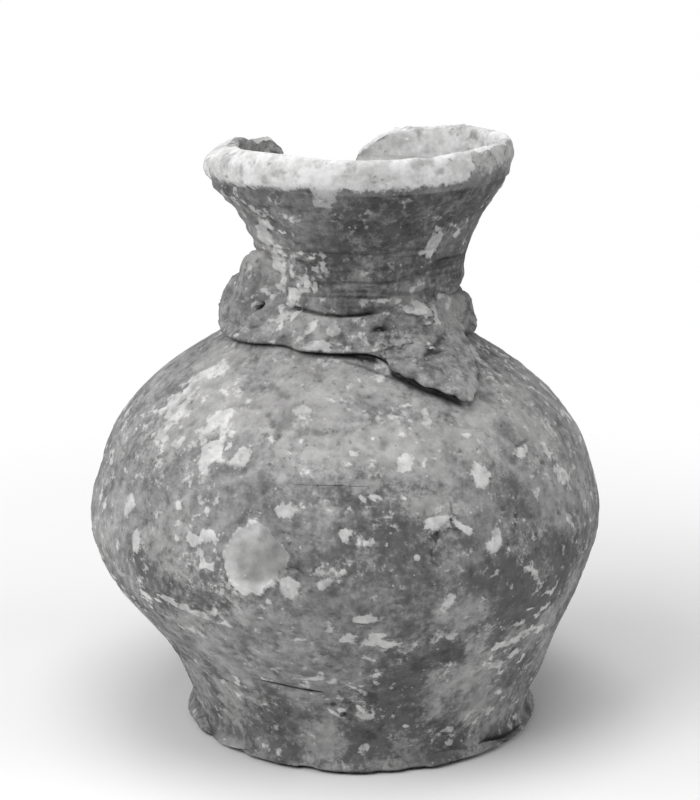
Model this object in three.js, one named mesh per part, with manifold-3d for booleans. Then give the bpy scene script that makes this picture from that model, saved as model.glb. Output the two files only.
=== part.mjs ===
import * as THREE from "three";
import { mergeVertices } from "three/addons/utils/BufferGeometryUtils.js";
import Module from "manifold-3d";

// A hand-made clay jar with a broken mouth, in millimetres. It stands on the flat underside of its base
// slab, whose centre is the origin: +Z is up, -Y is the front with the long clay tail, +Y is the broken back.
// The jar is built up as a potter builds it: slab, foot, two halves of the belly, neck and rolled rim are
// luted on each other, strips seal the joints inside, and a band with knots and a tail is pressed on outside.

// Outside of the wall, station by station: the rise over the station below, and the radius there.
const undersideRadius = 60.2;
const lipRise = 1.6;
const lipRadius = 61;
const waistRise = 3.9;
const waistRadius = 58.9;
const footRise = 14.5;
const footRadius = 63.2;
const footTopRise = 11.5;
const footTopRadius = 68.3;
const bowlRise = 18.5;
const bowlRadius = 79.6;
const bellyRise = 20;
const bellyRadius = 86.8;
const upperBellyRise = 20;
const upperBellyRadius = 83.2;
const bellyJointRise = 13.5;
const bellyJointRadius = 77.4;
const shoulderRise = 15.5;
const shoulderRadius = 63.3;
const shoulderTopRise = 15;
const shoulderTopRadius = 42;
const neckFootRise = 4.5;
const neckFootRadius = 37;
const throatRise = 8.5;
const throatRadius = 33.8;
const neckRise = 17;
const neckRadius = 36.1;
const flareRise = 12;
const flareRadius = 41.8;
const mouthRise = 12;
const mouthRadius = 49.8;

// Wall and slab.
const slabThickness = 5;
const bodyWall = 7;
const neckWall = 5.5;
const jointGap = 0.3;

// The rolled rim on top of the neck: how far it stands out past the neck, and its ridge lies in from there.
const rimHeight = 12;
const rimWidestRise = 5;
const rimOverhang = 1.2;
const ridgeInset = 3.3;

// The belly stands off to the left of the foot, the neck leans back over the foot, and the mouth sags.
const bellyLean = -5.7;
const neckLean = -0.8;
const mouthDip = 1.3;
const mouthSag = 3.5;
const mouthSagAngle = 170;
const mouthSagHalfWidth = 75;

// Throwing rings on the neck.
const ringPitch = 5;
const ringDepth = 0.5;

// The band of clay round the root of the neck, from just below the neck's joint.
const bandHeight = 13;
const bandDrop = 2.6;
const bandThickness = 3.4;
const bandEdge = 0.6;
const bandTaper = 0.5;

// Middles of the pressed pads over the neck's joint; the tail's middle lies under it.
const innerLobeRise = 10;
const outerLobeRise = 6.5;
const rearPadRise = 0.5;
const tailDrop = 3;

// Strips of clay that seal the joints inside.
const baseStripWidth = 9;
const baseStripHeight = 8;
const bellyStripHeight = 14;
const bellyStripThickness = 3.2;
const neckStripHeight = 10;
const neckStripThickness = 2.6;
const stripEdge = 0.5;

// How finely the round pieces are cut: steps round the axis, and steps up the wall.
const turns = 36;
const coarseStep = 7.5;
const fineStep = ringPitch / 2;
const leastStep = 0.5;

// Places that follow from the sizes above.
const footHeight = lipRise + waistRise + footRise;
const footJoint = footHeight + footTopRise;
const bowlHeight = footJoint + bowlRise;
const bellyHeight = bowlHeight + bellyRise;
const bellyJoint = bellyHeight + upperBellyRise + bellyJointRise;
const shoulderTop = bellyJoint + shoulderRise + shoulderTopRise;
const neckJoint = shoulderTop + neckFootRise;
const throatHeight = neckJoint + throatRise;
const neckHeight = throatHeight + neckRise;
const mouthJoint = neckHeight + flareRise + mouthRise;
const ridgeHeight = mouthJoint + rimHeight;
const rimRadius = mouthRadius + rimOverhang;
const ridgeRadius = rimRadius - ridgeInset;
const bandBottom = neckJoint - bandDrop;
const bandTop = bandBottom + bandHeight;

const { degToRad, lerp, smoothstep } = THREE.MathUtils;
const stations = [
  [0, undersideRadius],
  [lipRise, lipRadius],
  [waistRise, waistRadius],
  [footRise, footRadius],
  [footTopRise, footTopRadius],
  [bowlRise, bowlRadius],
  [bellyRise, bellyRadius],
  [upperBellyRise, upperBellyRadius],
  [bellyJointRise, bellyJointRadius],
  [shoulderRise, shoulderRadius],
  [shoulderTopRise, shoulderTopRadius],
  [neckFootRise, neckFootRadius],
  [throatRise, throatRadius],
  [neckRise, neckRadius],
  [flareRise, flareRadius],
  [mouthRise, mouthRadius],
];
const stationHeights = [];
let stationHeight = 0;
for (const [rise] of stations) {
  stationHeight += rise;
  stationHeights.push(stationHeight);
}
const wallCurve = new THREE.CubicInterpolant(
  stationHeights,
  stations.map(([, radius]) => radius),
  1,
);

// Outer radius of the wall at a height, without the throwing rings.
function plainRadius(z) {
  return wallCurve.evaluate(z)[0];
}

// Outer radius with the throwing rings, which are hollows between crests one pitch apart.
function outerRadius(z) {
  if (z < bandTop || z > mouthJoint) {
    return plainRadius(z);
  }
  const hollow = 0.5 - 0.5 * Math.cos((2 * Math.PI * z) / ringPitch);
  return plainRadius(z) - ringDepth * hollow;
}

// Inner radius: the outside set back level by the wall, which the slope of the outside makes longer.
function innerRadius(z) {
  const slope = plainRadius(z + 0.5) - plainRadius(z - 0.5);
  const wall = lerp(bodyWall, neckWall, smoothstep(z, shoulderTop, throatHeight));
  return plainRadius(z) - wall * Math.hypot(1, slope);
}

// Heights from low to high: both ends, and the steps of one grid that all pieces share in between. The
// steps are fine in the foot, and from the top of the shoulder up to fineTop.
function levels(low, high, fineTop = ridgeHeight) {
  const list = [low];
  let z = 0;
  while (z < high) {
    if (z > low + leastStep && z < high - leastStep) {
      list.push(z);
    }
    const fine = z < footHeight || (z > shoulderTop - coarseStep && z < fineTop);
    z += fine ? fineStep : coarseStep;
  }
  list.push(high);
  return list;
}

// Centre of the jar at a height: the belly is thrown off to one side, and the neck comes most of the way back.
function leanAt(z) {
  const toBelly = smoothstep(z, footHeight, (bowlHeight + bellyHeight) / 2);
  const toNeck = smoothstep(z, shoulderTop, (throatHeight + neckHeight) / 2);
  return bellyLean * toBelly + (neckLean - bellyLean) * toNeck;
}

// How far the mouth has sunk at an angle: most at the sag and nothing half a width away from it, with
// an even dip at the front and the back.
function sagAt(angle, z) {
  const turn = angle - degToRad(mouthSagAngle);
  const away = Math.abs(Math.atan2(Math.sin(turn), Math.cos(turn)));
  const share = Math.cos(Math.min(away / degToRad(mouthSagHalfWidth), 1) * (Math.PI / 2));
  const drop = mouthSag * share ** 2 + mouthDip * Math.sin(angle) ** 2;
  return drop * smoothstep(z, neckHeight, ridgeHeight);
}

// Moves every corner of an upright, round piece to where the real jar leans and sags.
function settle(geometry) {
  const position = geometry.getAttribute("position");
  for (let i = 0; i < position.count; i += 1) {
    const x = position.getX(i);
    const y = position.getY(i);
    const z = position.getZ(i);
    position.setXYZ(i, x + leanAt(z), y, z - sagAt(Math.atan2(y, x), z));
  }
  return geometry;
}

// One closed body from a geometry: seams welded, and the slivers that the welding flattens left out.
function welded(geometry) {
  geometry.deleteAttribute("normal");
  geometry.deleteAttribute("uv");
  const body = mergeVertices(geometry, 1e-4);
  const kept = [];
  for (let i = 0; i < body.index.count; i += 3) {
    const [a, b, c] = [body.index.getX(i), body.index.getX(i + 1), body.index.getX(i + 2)];
    if (a !== b && b !== c && c !== a) {
      kept.push(a, b, c);
    }
  }
  body.setIndex(kept);
  return body;
}

// A round piece from the closed outline of its section, which runs outwards, up, and back inwards.
function turned(section) {
  const points = section.map(([radius, z]) => new THREE.Vector2(radius, z));
  return settle(welded(new THREE.LatheGeometry(points, turns).rotateX(Math.PI / 2)));
}

// A ring of the wall between two joints, kept half a gap away from each.
function wallRing(lowJoint, highJoint) {
  const low = lowJoint + jointGap / 2;
  const high = highJoint - jointGap / 2;
  const outside = levels(low, high).map((z) => [outerRadius(z), z]);
  const inside = levels(low, high, throatHeight).map((z) => [innerRadius(z), z]).reverse();
  return turned([...outside, ...inside, outside[0]]);
}

const wasm = await Module();
wasm.setup();

// Cuts one closed body with others.
function cut(body, ...tools) {
  const solids = [body, ...tools].map((geometry) => {
    const mesh = new wasm.Mesh({
      numProp: 3,
      vertProperties: new Float32Array(geometry.getAttribute("position").array),
      triVerts: new Uint32Array(geometry.index.array),
    });
    return new wasm.Manifold(mesh);
  });
  const left = solids.reduce((rest, tool) => rest.subtract(tool)).getMesh();
  const geometry = new THREE.BufferGeometry();
  geometry.setAttribute("position", new THREE.BufferAttribute(left.vertProperties, 3));
  geometry.setIndex(new THREE.BufferAttribute(left.triVerts, 1));
  return geometry;
}

const jar = new THREE.Group();

function addPiece(name, geometry, color, roughness) {
  geometry.computeVertexNormals();
  const material = new THREE.MeshStandardMaterial({ color, roughness, metalness: 0 });
  const mesh = new THREE.Mesh(geometry, material);
  mesh.name = name;
  jar.add(mesh);
}

// The base slab is a thick pat of clay with a thumbed lip that stands out past the foot.
function baseSlab() {
  const top = slabThickness - jointGap / 2;
  const edge = [];
  const edgeSteps = 4;
  for (let i = 0; i <= edgeSteps; i += 1) {
    const z = (top * i) / edgeSteps;
    edge.push([plainRadius(z), z]);
  }
  return turned([[0, 0], ...edge, [0, top]]);
}

// The rim is a thick roll: a quarter wave out to its widest, and quarter ellipses over the ridge and inside.
function rimRoll() {
  const bottom = mouthJoint + jointGap / 2;
  const innerFoot = innerRadius(bottom);
  const steps = 4;
  const section = [];
  for (let i = 0; i < steps; i += 1) {
    const turn = (Math.PI / 2) * (i / steps);
    const radius = lerp(mouthRadius, rimRadius, Math.sin(turn));
    section.push([radius, lerp(bottom, mouthJoint + rimWidestRise, i / steps)]);
  }
  for (let i = 0; i < steps; i += 1) {
    const turn = (Math.PI / 2) * (i / steps);
    const rise = (rimHeight - rimWidestRise) * Math.sin(turn);
    const radius = lerp(ridgeRadius, rimRadius, Math.cos(turn));
    section.push([radius, mouthJoint + rimWidestRise + rise]);
  }
  for (let i = 0; i <= steps; i += 1) {
    const turn = (Math.PI / 2) * (i / steps);
    const radius = lerp(ridgeRadius, innerFoot, Math.sin(turn));
    section.push([radius, lerp(bottom, ridgeHeight, Math.cos(turn))]);
  }
  return turned([...section, section[0]]);
}

// Outline of the break seen from the front: across from the axis, and down from the ridge. It drops in
// from the left over two knobs of torn clay, runs along the neck, and climbs to the right in small steps.
const breakOutline = [
  [-48, -4],
  [-43, 2.5],
  [-38.5, 6],
  [-34, 5.2],
  [-30.5, 7],
  [-28.5, 12],
  [-21, 15.5],
  [-11, 14],
  [-3, 15],
  [-1, 12],
  [4, 8],
  [11, 4],
  [18, 3],
  [26, -4],
];
const breakFrontEdge = 6;

function mouthBreak() {
  const corners = breakOutline.map(([across, down]) => new THREE.Vector2(across, ridgeHeight - down));
  const outline = new THREE.Shape(corners);
  const depth = rimRadius + rimHeight;
  const geometry = new THREE.ExtrudeGeometry(outline, { depth, bevelEnabled: false });
  return welded(geometry.rotateX(Math.PI / 2).translate(0, breakFrontEdge + depth, 0));
}

// The band's section: its inside lies on the wall, and its outside bulges with blunt edges and thins
// towards the top. grow makes it larger all over, to cut its bed in what is pressed over it.
function bandRing(grow) {
  const low = bandBottom - grow;
  const high = bandTop + grow;
  const inside = levels(low, high).map((z) => [plainRadius(z) + jointGap - 4 * grow, z]);
  const outside = [];
  const steps = 8;
  for (let i = 0; i <= steps; i += 1) {
    const share = i / steps;
    const bulge = Math.cbrt(1 - Math.abs(2 * share - 1) ** 6);
    const thickness = bandEdge + (bandThickness - bandEdge) * bulge * (1 - bandTaper * share);
    const z = lerp(low, high, share);
    outside.push([plainRadius(z) + jointGap + thickness + grow, z]);
  }
  const section = [...outside, ...inside.reverse()];
  return turned([...section, section[0]]);
}

// The solid jar under the pads: the wall's outside as one full body, larger by the gap.
function wallBody() {
  const outside = levels(bellyJoint, mouthJoint).map((z) => [outerRadius(z) + jointGap, z]);
  return turned([[0, bellyJoint], ...outside, [0, mouthJoint]]);
}

// A pad of clay pressed on the wall. Its outline is given round its middle, along and up the wall, and it
// is a pillow: blunt at the edge and fullest in the middle. Its face follows the wall where it hugs it,
// and otherwise swells from the radius at its middle. It stands off in one tilted direction.
function pressedPad({ angle, height, outline, thickness, bluntness, hug, tilt }, grow = 0) {
  const sides = 24;
  const rings = 12;
  const rooting = 2;
  const edge = new THREE.CatmullRomCurve3(
    outline.map(([along, up]) => new THREE.Vector3(along, up, 0)),
    true,
  );
  const geometry = new THREE.SphereGeometry(1, sides, rings);
  const position = geometry.getAttribute("position");
  const middleRadius = plainRadius(height);
  for (let i = 0; i < position.count; i += 1) {
    const [x, y, z] = [position.getX(i), position.getY(i), position.getZ(i)];
    const reach = Math.hypot(x, z);
    const share = (Math.atan2(-z, x) / (2 * Math.PI) + 1) % 1;
    const corner = edge.getPoint(share);
    corner.setLength(corner.length() + grow).multiplyScalar(reach);
    const fullness = Math.sign(y) * Math.abs(y) ** bluntness;
    const standOff = y > 0 ? fullness * (thickness + grow) : fullness * rooting;
    const level = height + corner.y;
    const swell = Math.max(fullness, 0) * (1 - hug);
    const radius = lerp(plainRadius(level), middleRadius, swell) + standOff * Math.cos(degToRad(tilt));
    const turn = degToRad(angle) + corner.x / middleRadius;
    const lift = standOff * Math.sin(degToRad(tilt));
    position.setXYZ(i, radius * Math.cos(turn), radius * Math.sin(turn), level + lift);
  }
  return settle(welded(geometry));
}

// Knot at the left: an inner lobe that the band runs into, and an outer one tucked behind it.
const innerLobe = {
  angle: -156,
  height: neckJoint + innerLobeRise,
  outline: [
    [11, -2],
    [8, 9],
    [1, 15],
    [-7, 10],
    [-10, -1],
    [-7, -10],
    [2, -11.5],
    [9, -10],
  ],
  thickness: 9.5,
  bluntness: 0.7,
  hug: 0,
  tilt: 6,
};
const outerLobe = {
  angle: 175,
  height: neckJoint + outerLobeRise,
  outline: [
    [11, 0],
    [7, 8],
    [0, 9.5],
    [-8, 6],
    [-10, -1],
    [-5, -8],
    [6, -9],
  ],
  thickness: 10.5,
  bluntness: 0.7,
  hug: 0,
  tilt: 0,
};

// A low pad at the right, on the far side of the tail.
const rearPad = {
  angle: 10,
  height: neckJoint + rearPadRise,
  outline: [
    [10, 0],
    [6, 5],
    [-4, 5],
    [-9, 0],
    [-5, -4],
    [6, -4],
  ],
  thickness: 7.5,
  bluntness: 0.5,
  hug: 0.3,
  tilt: 0,
};

// The tail at the right of the front: a torn tongue that leaves the neck over the band and lies on the
// shoulder with its point down.
const tail = {
  angle: -48,
  height: neckJoint - tailDrop,
  outline: [
    [18.5, 3],
    [12, 11],
    [0, 14],
    [-10, 12.5],
    [-16.5, 4],
    [-16.5, -5],
    [-11.5, -8.5],
    [-4.5, -13.5],
    [-0.5, -12.5],
    [8, -7],
    [14, -3],
  ],
  thickness: 4.5,
  bluntness: 0.4,
  hug: 1,
  tilt: 35,
};

// A strip inside the wall over a joint: one side lies on the wall, and the other is a low round bulge.
function innerStrip(joint, height, thickness) {
  const low = joint - height / 2;
  const high = joint + height / 2;
  const laid = levels(low, high, throatHeight).map((z) => [innerRadius(z) - jointGap, z]);
  const free = [];
  const steps = 4;
  for (let i = 0; i <= steps; i += 1) {
    const share = i / steps;
    const z = lerp(low, high, share);
    const bulge = Math.sin(Math.PI * share);
    free.push([innerRadius(z) - jointGap - lerp(stripEdge, thickness, bulge), z]);
  }
  return turned([...laid, ...free.reverse(), laid[0]]);
}

// The base strip fills the corner between slab and foot with a hollow fillet.
function cornerStrip() {
  const floor = slabThickness + jointGap / 2;
  const laid = levels(floor, floor + baseStripHeight).map((z) => [innerRadius(z) - jointGap, z]);
  const free = [];
  const steps = 4;
  for (let i = 0; i <= steps; i += 1) {
    const turn = (Math.PI / 2) * (i / steps);
    const across = lerp(baseStripWidth, stripEdge, Math.sin(turn));
    const up = lerp(baseStripHeight, stripEdge, Math.cos(turn));
    free.push([innerRadius(floor + up) - jointGap - across, floor + up]);
  }
  return turned([...laid, ...free.reverse(), laid[0]]);
}

const brokenMouth = mouthBreak();
const wall = wallBody();
const bandBed = bandRing(jointGap);

addPiece("base_slab", baseSlab(), 0x6c6d6b, 0.95);
addPiece("foot_wall", wallRing(slabThickness, footJoint), 0x757674, 0.95);
addPiece("lower_body", wallRing(footJoint, bellyJoint), 0x7c7d7b, 0.94);
addPiece("upper_body", wallRing(bellyJoint, neckJoint), 0x979896, 0.93);
addPiece("neck", cut(wallRing(neckJoint, mouthJoint), brokenMouth), 0x5a5b59, 0.95);
addPiece("rim", cut(rimRoll(), brokenMouth), 0xdcdad6, 0.85);
addPiece("neck_band", bandRing(0), 0x8b8c8b, 0.94);

addPiece("knot_inner_lobe", cut(pressedPad(innerLobe), wall, bandBed), 0x858785, 0.94);
const innerLobeBed = pressedPad(innerLobe, jointGap);
addPiece("knot_outer_lobe", cut(pressedPad(outerLobe), wall, bandBed, innerLobeBed), 0x6f706e, 0.95);
addPiece("rear_pad", cut(pressedPad(rearPad), wall, bandBed), 0x666765, 0.95);
addPiece("neck_tail", cut(pressedPad(tail), wall, bandBed), 0x777876, 0.94);

addPiece("base_joint_strip", cornerStrip(), 0x5f5d5a, 0.97);
addPiece("belly_joint_strip", innerStrip(bellyJoint, bellyStripHeight, bellyStripThickness), 0x5f5d5a, 0.97);
addPiece("neck_joint_strip", innerStrip(neckJoint, neckStripHeight, neckStripThickness), 0x5f5d5a, 0.97);

export default jar;
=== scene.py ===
import math
import bpy
import numpy as np
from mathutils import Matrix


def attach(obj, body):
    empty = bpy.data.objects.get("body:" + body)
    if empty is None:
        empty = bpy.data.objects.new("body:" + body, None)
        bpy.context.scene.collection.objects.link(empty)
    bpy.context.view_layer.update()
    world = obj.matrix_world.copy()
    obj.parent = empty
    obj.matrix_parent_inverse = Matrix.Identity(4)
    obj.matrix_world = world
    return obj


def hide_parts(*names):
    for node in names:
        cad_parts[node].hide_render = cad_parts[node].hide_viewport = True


# A hand-made clay jar with a broken mouth. Lengths are in millimetres here, heights are above the floor, and
# angles go round the jar's axis in degrees: 0 is its right side, -90 its front and 90 its broken back.
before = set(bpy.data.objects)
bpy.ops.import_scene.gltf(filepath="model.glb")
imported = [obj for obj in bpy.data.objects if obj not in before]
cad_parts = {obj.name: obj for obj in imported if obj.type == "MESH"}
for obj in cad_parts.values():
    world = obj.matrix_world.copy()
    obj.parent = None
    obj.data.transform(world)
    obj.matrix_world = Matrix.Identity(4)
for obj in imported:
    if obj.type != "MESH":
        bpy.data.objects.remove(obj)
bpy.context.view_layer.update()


# Base slab
# The round pat of coarse clay that the potter beat flat first. Its lip stands out past the foot, which is
# luted on top, and it is chipped and worn where the jar stands.
MM = 0.001
SLAB_TOP = 5.0
BODY_WALL = 7.0
NECK_WALL = 5.5
SHOULDER_TOP = 134.0
THROAT = 147.0
NECK_MIDDLE = 155.5
NECK_HEIGHT = 164.0
MOUTH_JOINT = 188.0
RIDGE = 200.0
WALL_STATIONS = np.array([
    (0, 60.2), (1.6, 61), (5.5, 58.9), (20, 63.2), (31.5, 68.3), (50, 79.6), (70, 86.8), (90, 83.2),
    (103.5, 77.4), (119, 63.3), (134, 42), (138.5, 37), (147, 33.8), (164, 36.1), (176, 41.8), (188, 49.8),
])
BELLY_LEAN = -5.7
NECK_LEAN = -0.8
LEAN_STARTS = 20
LEAN_FULL = 60
MOUTH_DIP = 1.3
MOUTH_SAG = 3.5
SAG_ANGLE = 170
SAG_HALF_WIDTH = 75
SKIN_INSET = 0.35


def ease(value, low, high):
    """A smooth step: 0 below low, 1 above high, and 3 t squared less 2 t cubed in between."""
    t = np.clip((value - low) / (high - low), 0, 1)
    return t * t * (3 - 2 * t)


def bell(value, middle, half_width):
    """A bell of height 1: e to the power of minus the squared distance from its middle in half widths."""
    return np.exp(-(((value - middle) / half_width) ** 2))


def turn_from(angle, middle):
    """Degrees round the jar from a middle angle, from -180 to 180."""
    return (np.degrees(angle) - middle + 180) % 360 - 180


def bells(angle, places):
    """The sum of bells round the jar, each with its angle, half length in degrees and height."""
    total = 0 * angle
    for middle, half_length, rise in places:
        total = total + rise * bell(turn_from(angle, middle), 0, half_length)
    return total


def wall_radius(height):
    """Outer radius of the wall: cubic Hermite arcs between the stations. The slope at a station is the mean
    of the two chords beside it, and both ends are upright."""
    heights, radii = WALL_STATIONS.T
    height = np.clip(height, heights[0], heights[-1])
    chords = np.diff(radii) / np.diff(heights)
    slopes = np.concatenate([[0], (chords[1:] + chords[:-1]) / 2, [0]])
    i = np.clip(np.searchsorted(heights, height, side="right") - 1, 0, len(heights) - 2)
    span = heights[i + 1] - heights[i]
    t = (height - heights[i]) / span
    low_part = (2 * t**3 - 3 * t**2 + 1) * radii[i] + (t**3 - 2 * t**2 + t) * span * slopes[i]
    high_part = (3 * t**2 - 2 * t**3) * radii[i + 1] + (t**3 - t**2) * span * slopes[i + 1]
    return low_part + high_part


def wall_slope(height):
    """How fast the outer radius grows with height, over a millimetre."""
    return wall_radius(height + 0.5) - wall_radius(height - 0.5)


def inner_radius(height):
    """Inner radius: the outside set back level by the wall, which the slope of the outside makes longer."""
    wall = BODY_WALL + (NECK_WALL - BODY_WALL) * ease(height, SHOULDER_TOP, THROAT)
    return wall_radius(height) - wall * np.hypot(1, wall_slope(height))


def lean(height):
    """Sideways place of the jar's middle: thrown off to the left in the belly, and most of the way back."""
    to_belly = ease(height, LEAN_STARTS, LEAN_FULL)
    to_neck = ease(height, SHOULDER_TOP, NECK_MIDDLE)
    return BELLY_LEAN * to_belly + (NECK_LEAN - BELLY_LEAN) * to_neck


def sag(angle, height):
    """How far the mouth has sunk: a squared cosine round the sag's angle, and an even dip front and back."""
    away = np.abs(turn_from(angle, SAG_ANGLE))
    share = np.cos(np.minimum(away / SAG_HALF_WIDTH, 1) * math.pi / 2)
    drop = MOUTH_SAG * share**2 + MOUTH_DIP * np.sin(angle) ** 2
    return drop * ease(height, NECK_HEIGHT, RIDGE)


def settle(radius, angle, height):
    """Points of a round piece, turned about the leaning axis and lowered by the sag."""
    radius, angle, height = np.broadcast_arrays(radius, angle, height)
    x = radius * np.cos(angle) + lean(height)
    y = radius * np.sin(angle)
    return np.stack([x, y, height - sag(angle, height)], axis=-1)


OCTAVE_TURN = np.array([[0.36, 0.48, -0.8], [-0.8, 0.6, 0.0], [0.48, 0.64, 0.6]])
OCTAVE_SHRINK = 2.03
OCTAVE_SHIFT = 7.7
NOISE_GAIN = 1.3


def lattice(corner, seed):
    """A fixed random number from -1 to 1 for each corner of a lattice, from its whole-number place."""
    x, y, z = (corner[..., k].astype(np.int64).astype(np.uint32) for k in range(3))
    mixed = x * np.uint32(374761393) + y * np.uint32(668265263) + z * np.uint32(2246822519)
    mixed = (mixed + np.uint32(seed * 3266489917 % 2**32)) * np.uint32(1274126177)
    mixed = (mixed ^ (mixed >> np.uint32(13))) * np.uint32(2654435761)
    mixed = mixed ^ (mixed >> np.uint32(16))
    return mixed / 2147483647.5 - 1


def noise(points, size, seed, octaves=3):
    """Clouds of a size in millimetres, from about -1 to 1: lattice numbers blended by quintic steps, in
    octaves that are each about half as wide, half as strong and turned in space. The seed picks the
    pattern."""
    place = points / size
    total = 0
    strength = 1.0
    for octave in range(octaves):
        cell = np.floor(place)
        t = place - cell
        t = t**3 * (t * (t * 6 - 15) + 10)
        for corner in np.ndindex(2, 2, 2):
            weight = np.prod(np.where(corner, t, 1 - t), axis=-1)
            total = total + strength * weight * lattice(cell + corner, seed + octave)
        place = place @ OCTAVE_TURN * OCTAVE_SHRINK + OCTAVE_SHIFT
        strength /= 2
    return NOISE_GAIN * total


def side_step(angle, middle, level):
    """Distance along the wall from a middle angle, in millimetres."""
    return np.radians(turn_from(angle, middle)) * wall_radius(level)


def tilted_bell(along, up, half_length, half_height, turn):
    """A bell of height 1 over two directions, the first of which is turned up from level by some degrees."""
    cosine, sine = math.cos(math.radians(turn)), math.sin(math.radians(turn))
    squared = ((along * cosine + up * sine) / half_length) ** 2
    squared = squared + ((up * cosine - along * sine) / half_height) ** 2
    return np.exp(-squared)


def spots(angle, height, places):
    """The strongest of some bells on the wall. A place is its angle and height, its half length and half
    height, its turn from level, and its strength."""
    total = np.zeros(np.shape(height))
    for middle, level, half_length, half_height, turn, strength in places:
        along = side_step(angle, middle, level)
        one = tilted_bell(along, height - level, half_length, half_height, turn)
        total = np.maximum(total, strength * one)
    return total


# Flakes of pale crust, from the shoulder down to the foot and then on the neck and what is pressed round it.
FLAKES = [
    (-147, 118, 9, 5, 20, 1.0), (-128, 114.5, 8, 4.5, 10, 1.1), (-125, 109, 4, 5.5, 0, 1.1),
    (-116, 109, 2.6, 2.3, 0, 1.3), (-103, 122, 3, 1.8, 0, 1.1), (-146, 127, 8, 3.5, 30, 0.9),
    (-145, 88, 3, 4.6, -20, 1.0), (-140, 79, 2.2, 4.8, 0, 1.0), (-103, 96, 4.4, 2.6, 15, 1.3),
    (-95, 79, 2.6, 3, 0, 0.9), (-94, 75, 2.4, 2.8, 0, 1.0), (-101, 72, 5, 3.6, 0, 0.9),
    (-136, 73, 4, 3, 0, 0.7), (-76, 108, 2.8, 2.6, 0, 1.3), (-66, 120, 2.2, 2.6, -25, 1.1),
    (-58, 103, 4.4, 3.2, 0, 1.1), (-31, 94, 5, 3.2, -10, 0.9), (-43, 106, 3.4, 1.6, -25, 0.8),
    (-56, 114, 2.8, 1.3, 0, 0.8), (-70, 91.4, 4.4, 2.0, -10, 1.7), (-63.8, 88.9, 3.4, 1.1, -25, 1.5),
    (-57, 82, 3.5, 2.2, 25, 1.1), (-31, 80, 2.6, 4.2, 10, 0.9), (-68, 67, 1.9, 4.6, -30, 1.0),
    (-60, 65, 1.5, 1.7, 0, 0.9), (-84, 72, 2, 2.8, 0, 0.8), (-75, 82, 1.2, 1.2, 0, 1.1),
    (-90, 90, 1.8, 1.4, 0, 1.0), (-36, 64, 1.7, 5, -30, 0.9), (-86, 63, 3.8, 1.5, 0, 1.2),
    (-84, 54, 7, 2, 0, 0.9), (-73, 52, 6, 3, 10, 0.9), (-66, 53, 4, 2, 0, 0.9),
    (-122, 58, 3.6, 1.3, -20, 0.8), (-98, 38, 6, 1.6, 0, 0.7), (-126, 29, 2, 4.2, -20, 0.7),
    (-77, 17, 1.4, 1.2, 0, 1.0), (-81, 34, 1.3, 1.0, 0, 1.0), (-98.5, 23.6, 2.6, 0.7, -42, 1.3),
    (-96.2, 24.6, 1.3, 0.8, 20, 1.0), (-99, 29, 1.6, 0.5, 20, 0.9), (-92, 28.4, 3, 0.4, 0, 0.9),
    (-90.6, 25.4, 2.2, 0.5, -55, 1.1), (-101, 74.5, 4, 1.6, -12, 1.2), (-119.5, 86.5, 2.6, 2.8, 0, 1.0),
    (-120, 178, 4.4, 1.8, -15, 0.9), (-142, 171, 5.0, 4.0, 20, 1.4), (-52.5, 169, 2.6, 4.6, -6, 1.6),
    (-38, 171, 1.4, 2.6, 20, 1.0), (-139, 161.5, 3.0, 3.6, 25, 1.5), (-129, 152, 3.2, 1.7, -10, 1.3),
    (-115, 155, 1.5, 2.3, 0, 1.2), (-111, 151, 2.0, 1.2, -10, 1.1), (-115, 165, 1.6, 0.8, 0, 1.0),
    (-115, 161, 1.8, 0.9, 0, 1.0), (-104, 165, 1.4, 0.7, 0, 1.0), (-79, 151, 4.5, 1.1, 0, 1.1),
    (-155, 150.5, 1.0, 1.8, 20, 1.1), (-149, 148, 1.0, 1.6, 0, 1.0), (-153, 159, 1.8, 1.4, 40, 1.0),
    (-110, 143, 1.9, 2.2, -30, 1.3), (-113, 139.6, 1.5, 1.5, 0, 1.0), (-104, 138, 5.5, 1.4, 0, 1.5),
    (-126, 141, 1.5, 2.4, 0, 1.2), (-121, 146, 0.8, 1.5, 0, 1.1), (-98, 142, 2.2, 1.3, 0, 1.0),
    (-44, 145, 1.1, 3.0, 8, 1.2), (-22.3, 130.8, 4.4, 0.9, 27, 1.7),
]
# The side that is turned away carries flakes of the same sizes, strewn at random.
STREWN_SEED = 7
STREWN_COUNT = 46
strewn = np.random.default_rng(STREWN_SEED)
for _ in range(STREWN_COUNT):
    FLAKES.append((
        strewn.uniform(-8, 192), strewn.uniform(12, 128), strewn.uniform(1.4, 5.5),
        strewn.uniform(1.2, 4.2), strewn.uniform(-40, 40), strewn.uniform(0.75, 1.2),
    ))
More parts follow.
